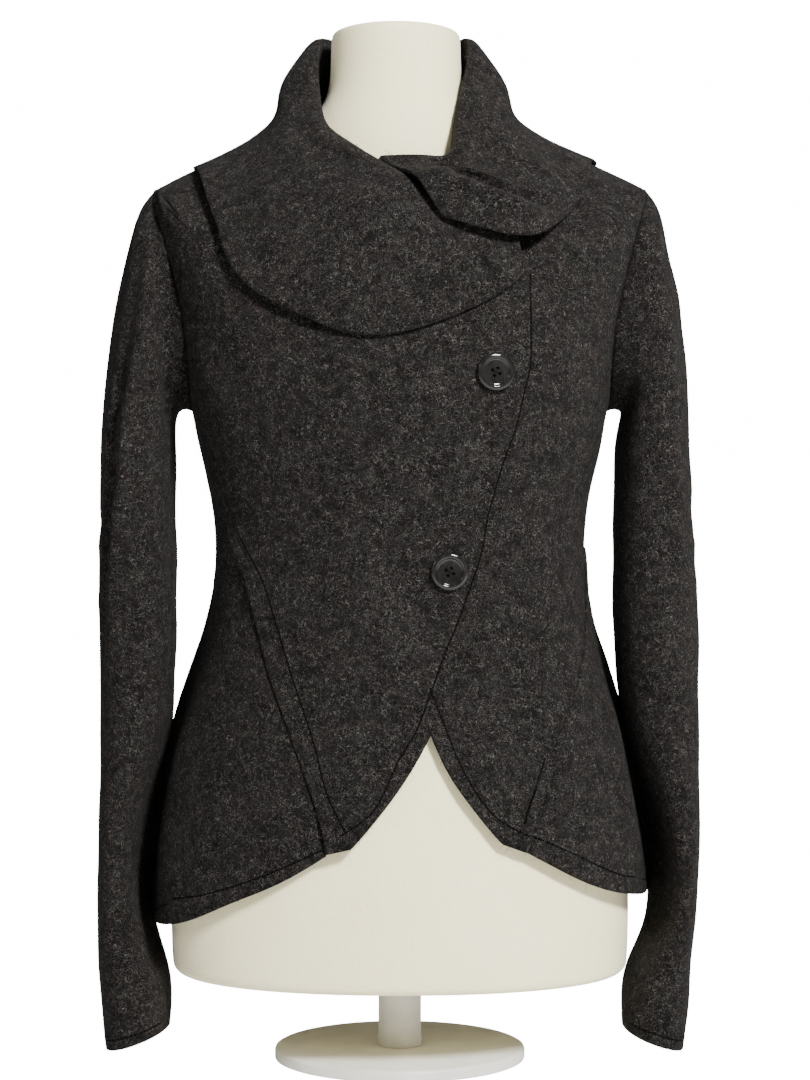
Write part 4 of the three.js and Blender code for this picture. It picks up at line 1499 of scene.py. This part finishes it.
@dataclass
class CoatButton:
    """A dished four-hole button with a raised rim, sewn on with a crossed thread."""

    node: str
    holes: int = 4
    hole_radius: float = 1.2
    hole_reach: float = 2.9
    turn: float = 20.0
    sides: int = 96
    thread_radius: float = 0.18
    thread_sides: int = 6
    thread_steps: int = 12
    strand_gap: float = 0.36
    thread_low: float = 0.9
    thread_climb: float = 2.0
    steepness: float = 6.0
    over: float = 0.3
    bulge: float = 0.2
    sharp: float = 40.0
    profile: Line = (
        (0.0, 0.25),
        (10.2, 0.25),
        (12.4, 0.6),
        (13.4, 1.4),
        (13.8, 2.3),
        (13.65, 3.1),
        (13.1, 3.75),
        (12.2, 4.12),
        (10.9, 4.2),
        (10.2, 4.0),
        (9.75, 3.55),
        (9.5, 3.05),
        (9.1, 2.82),
        (8.2, 2.76),
        (4.0, 2.7),
        (0.0, 2.68),
    )

    def basis(self) -> tuple[Vector, Matrix]:
        """Where the button sits.

        Returns:
            Centre of its underside in metres, and its axes as a matrix.
        """
        mesh = frame["nodes"][self.node].data
        points = np.array([v.co for v in mesh.vertices])
        middle = points.mean(0)
        _, _, axes = np.linalg.svd(points - middle)
        out = Vector(axes[2])
        if out.y > 0:
            out = -out
        low = min((Vector(p) - Vector(middle)).dot(out) for p in points)
        side = Vector((0, 0, 1)).cross(out).normalized()
        rise = out.cross(side)
        turn = Matrix((side, rise, out)).transposed()
        return Vector(middle) + out * low, turn

    def disc(self) -> bmesh.types.BMesh:
        """The turned disc, before its holes are drilled.

        Returns:
            A closed mesh in millimetres, underside at zero.
        """
        bm = bmesh.new()
        rings = []
        for radius, height in self.profile:
            if radius == 0:
                rings.append([bm.verts.new((0, 0, height))])
                continue
            rings.append([bm.verts.new((radius * c, radius * d, height)) for c, d in circle(self.sides)])
        for low, high in zip(rings, rings[1:]):
            for j in range(self.sides):
                k = (j + 1) % self.sides
                corners = [ring[i % len(ring)] for ring, i in ((low, j), (low, k), (high, k), (high, j))]
                bm.faces.new(list(dict.fromkeys(corners)))
        bmesh.ops.recalc_face_normals(bm, faces=bm.faces)
        return bm

    def spots(self) -> list[tuple[float, float]]:
        """Places of the holes.

        Returns:
            Their centres in millimetres.
        """
        made = []
        for k in range(self.holes):
            a = math.radians(self.turn + 45 + 360 * k / self.holes)
            made.append((self.hole_reach * math.cos(a), self.hole_reach * math.sin(a)))
        return made

    def drill(self, piece: Object) -> Mesh:
        """Cuts the holes through the disc.

        Args:
            piece: The disc's object, in millimetres about its own origin; it is used up.

        Returns:
            The drilled disc's mesh.
        """
        bits = bmesh.new()
        for x, y in self.spots():
            bmesh.ops.create_cone(
                bits,
                cap_ends=True,
                segments=20,
                radius1=self.hole_radius,
                radius2=self.hole_radius,
                depth=8.0,
                matrix=Matrix.Translation((x, y, 1.5)),
            )
        mesh = bpy.data.meshes.new("drill")
        bits.to_mesh(mesh)
        bits.free()
        bit = in_scene("drill", mesh)
        cut = piece.modifiers.new("holes", "BOOLEAN")
        cut.object = bit
        cut.solver = "EXACT"
        drilled = applied(piece)
        for spent in (piece, bit):
            bpy.data.objects.remove(spent)
        return drilled

    def thread(self) -> tuple[list[Vector], Faces]:
        """The crossed sewing thread, three strands each way.

        Returns:
            Points in millimetres and faces.
        """
        verts: list[Vector] = []
        faces: Faces = []
        spots = self.spots()
        for a, b in ((0, 2), (1, 3)):
            start = Vector((*spots[a], 0))
            end = Vector((*spots[b], 0))
            along = (end - start).normalized()
            side = Vector((-along.y, along.x, 0))
            for strand in (-self.strand_gap, 0.0, self.strand_gap):
                faces += tube_faces(len(verts), self.thread_steps + 1, self.thread_sides)
                for i in range(self.thread_steps + 1):
                    t = i / self.thread_steps
                    climb = self.thread_climb * min(1.0, self.steepness * min(t, 1 - t)) ** 0.7
                    height = self.thread_low + climb + (self.over if a else 0.0)
                    middle = start.lerp(end, t) + side * strand * (0.6 + 0.4 * math.sin(math.pi * t))
                    middle.z = height + self.bulge * math.sin(math.pi * t)
                    for c, d in circle(self.thread_sides):
                        reach = self.thread_radius
                        verts.append(middle + side * (reach * c) + Vector((0, 0, reach * d)))
        return verts, faces

    def build(self, palette: Palette) -> list[Object]:
        """Makes the button and its thread.

        Args:
            palette: The finishes.

        Returns:
            The disc and the thread.
        """
        seat, turn = self.basis()
        bm = self.disc()
        mesh = bpy.data.meshes.new(self.node + "_blank")
        bm.to_mesh(mesh)
        bm.free()
        drilled = self.drill(in_scene(self.node + "_blank", mesh))
        stand = Matrix.Translation(seat) @ turn.to_4x4() @ Matrix.Scale(MM, 4)
        drilled.transform(stand)
        disc = stand_in(drilled, self.node + "_disc", self.node, palette.horn, Slot.HORN, self.sharp)
        verts, faces = self.thread()
        sewn = mesh_object(self.node + "_thread", np.array([stand @ v for v in verts]), faces, palette.thread)
        return [disc, place(sewn, Slot.WOOL)]


@dataclass
class DisplayForm:
    """The limbless form in its stretched cover, with its flat neck cap."""

    node: str = "dress_form"
    rim: float = 0.9
    sharp: float = 38.0

    def build(self, palette: Palette) -> Object:
        """Makes the form.

        Args:
            palette: The finishes.

        Returns:
            The form.
        """
        mesh = ClothShell(self.node, rim=self.rim).smoothed()
        return stand_in(mesh, "form_cover", self.node, palette.cover, Slot.COVER, self.sharp)


@dataclass
class FormStand:
    """The low round base and the short post under the form."""

    radius: float = 96.0
    thick: float = 9.0
    post: float = 17.0
    post_top: float = 66.7
    foot: float = 6.0
    step_in: float = 0.6
    sharp: float = 50.0
    sides: int = 96

    def turned(self, name: str, profile: Line, material: Material) -> Object:
        """A turned piece about the upright axis.

        Args:
            name: Object's name.
            profile: Radius and height in millimetres, from below upwards.
            material: Finish.

        Returns:
            The piece.
        """
        corners = circle(self.sides)
        verts = np.array([(radius * c, radius * d, height) for radius, height in profile for c, d in corners])
        piece = mesh_object(name, verts * MM, tube_faces(0, len(profile), self.sides), material)
        piece.data.set_sharp_from_angle(angle=math.radians(self.sharp))
        return piece

    def build(self, palette: Palette) -> list[Object]:
        """Makes the base and the post.

        Args:
            palette: The finishes.

        Returns:
            Both pieces.
        """
        r, t = self.radius, self.thick
        base = self.turned(
            "base_plate",
            ((r - 1.2, 0.0), (r - 0.3, 0.4), (r, 1.4), (r, t - 2.4), (r - 0.6, t - 0.9), (r - 2.2, t)),
            palette.paint,
        )
        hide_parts("stand_base")
        low, high = t + 0.3, self.post_top
        post = self.turned(
            "post",
            (
                (self.post, low),
                (self.post, low + self.foot),
                (self.post - self.step_in, low + self.foot + 2 * self.step_in),
                (self.post - self.step_in, high - self.foot - 2 * self.step_in),
                (self.post, high - self.foot),
                (self.post, high),
            ),
            palette.paint,
        )
        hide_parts("stand_pole")
        return [place(base, Slot.PAINT), place(post, Slot.PAINT)]


@dataclass
class Studio:
    """Floor, soft lights and camera."""

    eye: tuple[float, float, float] = (0.004, -1.9, 0.397)
    lens: float = 82.3
    world_light: float = 0.075
    paper: float = 16.0
    floor_half: float = 6.0

    def camera(self) -> None:
        """Makes the camera."""
        data = bpy.data.cameras.new("camera")
        data.lens = self.lens
        data.sensor_width = 36.0
        data.sensor_fit = "AUTO"
        cam = in_scene("camera", data)
        cam.location = self.eye
        cam.rotation_euler = (math.radians(90), 0, 0)
        bpy.context.scene.camera = cam

    def lamp(self, name: str, at: Triple, aim: Triple, size: float, watts: float) -> None:
        """Makes one square soft light.

        Args:
            name: Light's name.
            at: Where it stands.
            aim: What it looks at.
            size: Side length in metres.
            watts: Power.
        """
        data = bpy.data.lights.new(name, "AREA")
        data.size = size
        data.energy = watts
        lamp = in_scene(name, data)
        lamp.location = at
        lamp.rotation_mode = "QUATERNION"
        lamp.rotation_quaternion = (Vector(aim) - Vector(at)).to_track_quat("-Z", "Y")

    def build(self, palette: Palette) -> None:
        """Makes the floor, the lights and the world.

        Args:
            palette: The finishes.
        """
        half = self.floor_half
        corners = np.array([(-half, -half, 0), (half, -half, 0), (half, half, 0), (-half, half, 0)])
        floor = mesh_object("floor", corners, [(0, 1, 2, 3)], palette.floor)
        self.lamp("key", (1.05, -2.05, 1.75), (0, 0, 0.42), 0.42, 182.0)
        self.lamp("fill", (-1.6, -1.5, 1.5), (0, 0, 0.42), 0.5, 9.0)
        self.lamp("floor_wash", (0.0, 0.9, 2.6), (0, 0.4, 0.0), 2.4, 30.0)
        world = bpy.data.worlds.new("studio")
        world.use_nodes = True
        tree = world.node_tree
        plain, paper = tree.nodes["Background"], tree.nodes.new("ShaderNodeBackground")
        for node, strength in ((plain, self.world_light), (paper, self.paper)):
            node.inputs[0].default_value = (*WHITE, 1.0)
            node.inputs[1].default_value = strength
        seen = tree.nodes.new("ShaderNodeLightPath")
        both = tree.nodes.new("ShaderNodeMixShader")
        tree.links.new(seen.outputs["Is Camera Ray"], both.inputs[0])
        tree.links.new(plain.outputs[0], both.inputs[1])
        tree.links.new(paper.outputs[0], both.inputs[2])
        tree.links.new(both.outputs[0], tree.nodes["World Output"].inputs[0])
        bpy.context.scene.world = world


@dataclass(frozen=True)
class ClothCut:
    """The flat cut of one piece in metres and how it is held."""

    node: str
    flat: tuple[float, float]
    area: float
    held: str = "draped"

    def declare(self) -> None:
        """Does nothing: the cut is not stated anywhere."""


CUTS = (
    ClothCut("right_front", (0.358, 0.722), 0.1138),
    ClothCut("left_front", (0.260, 0.717), 0.0995),
    ClothCut("right_side", (0.347, 0.417), 0.0737),
    ClothCut("left_side", (0.296, 0.400), 0.0513),
    ClothCut("right_back", (0.232, 0.733), 0.1024),
    ClothCut("left_back", (0.232, 0.732), 0.1023),
    ClothCut("right_seam_band", (0.010, 0.253), 0.0022),
    ClothCut("left_seam_band", (0.010, 0.270), 0.0020),
    ClothCut("right_sleeve", (0.459, 0.664), 0.1551),
    ClothCut("left_sleeve", (0.459, 0.663), 0.1552),
    ClothCut("collar_right", (0.255, 0.645), 0.0777, "folded"),
    ClothCut("collar_left", (0.246, 0.453), 0.0568, "folded"),
)


def main() -> None:
    """Builds every sub-assembly in order."""
    logging.basicConfig(level=logging.INFO, format="%(name)s: %(message)s")
    palette = Palette()
    studio = Studio()
    studio.camera()
    JacketBody().build(palette)
    Sleeves().build(palette)
    WrapCollar().build(palette)
    for cut in CUTS:
        cut.declare()
    body = ClothPieces(*(node + "_cloth" for node in JacketBody.nodes))
    sleeves = ClothPieces(*(node + "_cloth" for node in Sleeves.nodes))
    stitching = TopStitching()
    stitching.build(palette, body, sleeves)
    around = ClothFace(*frame["nodes"])
    seams = stitching.seams()
    for seed, cut in enumerate(CUTS):
        inside = ClothFace(cut.node, "dress_form") if cut.node in JacketBody.nodes else ClothFace(cut.node)
        piece = bpy.data.objects[cut.node + "_cloth"]
        LooseNap().grow(piece, around, inside, seams, palette.nap, seed)
    for node in ("button_upper", "button_lower"):
        CoatButton(node).build(palette)
    DisplayForm().build(palette)
    FormStand().build(palette)
    studio.build(palette)


if __name__ == "__main__":
    main()
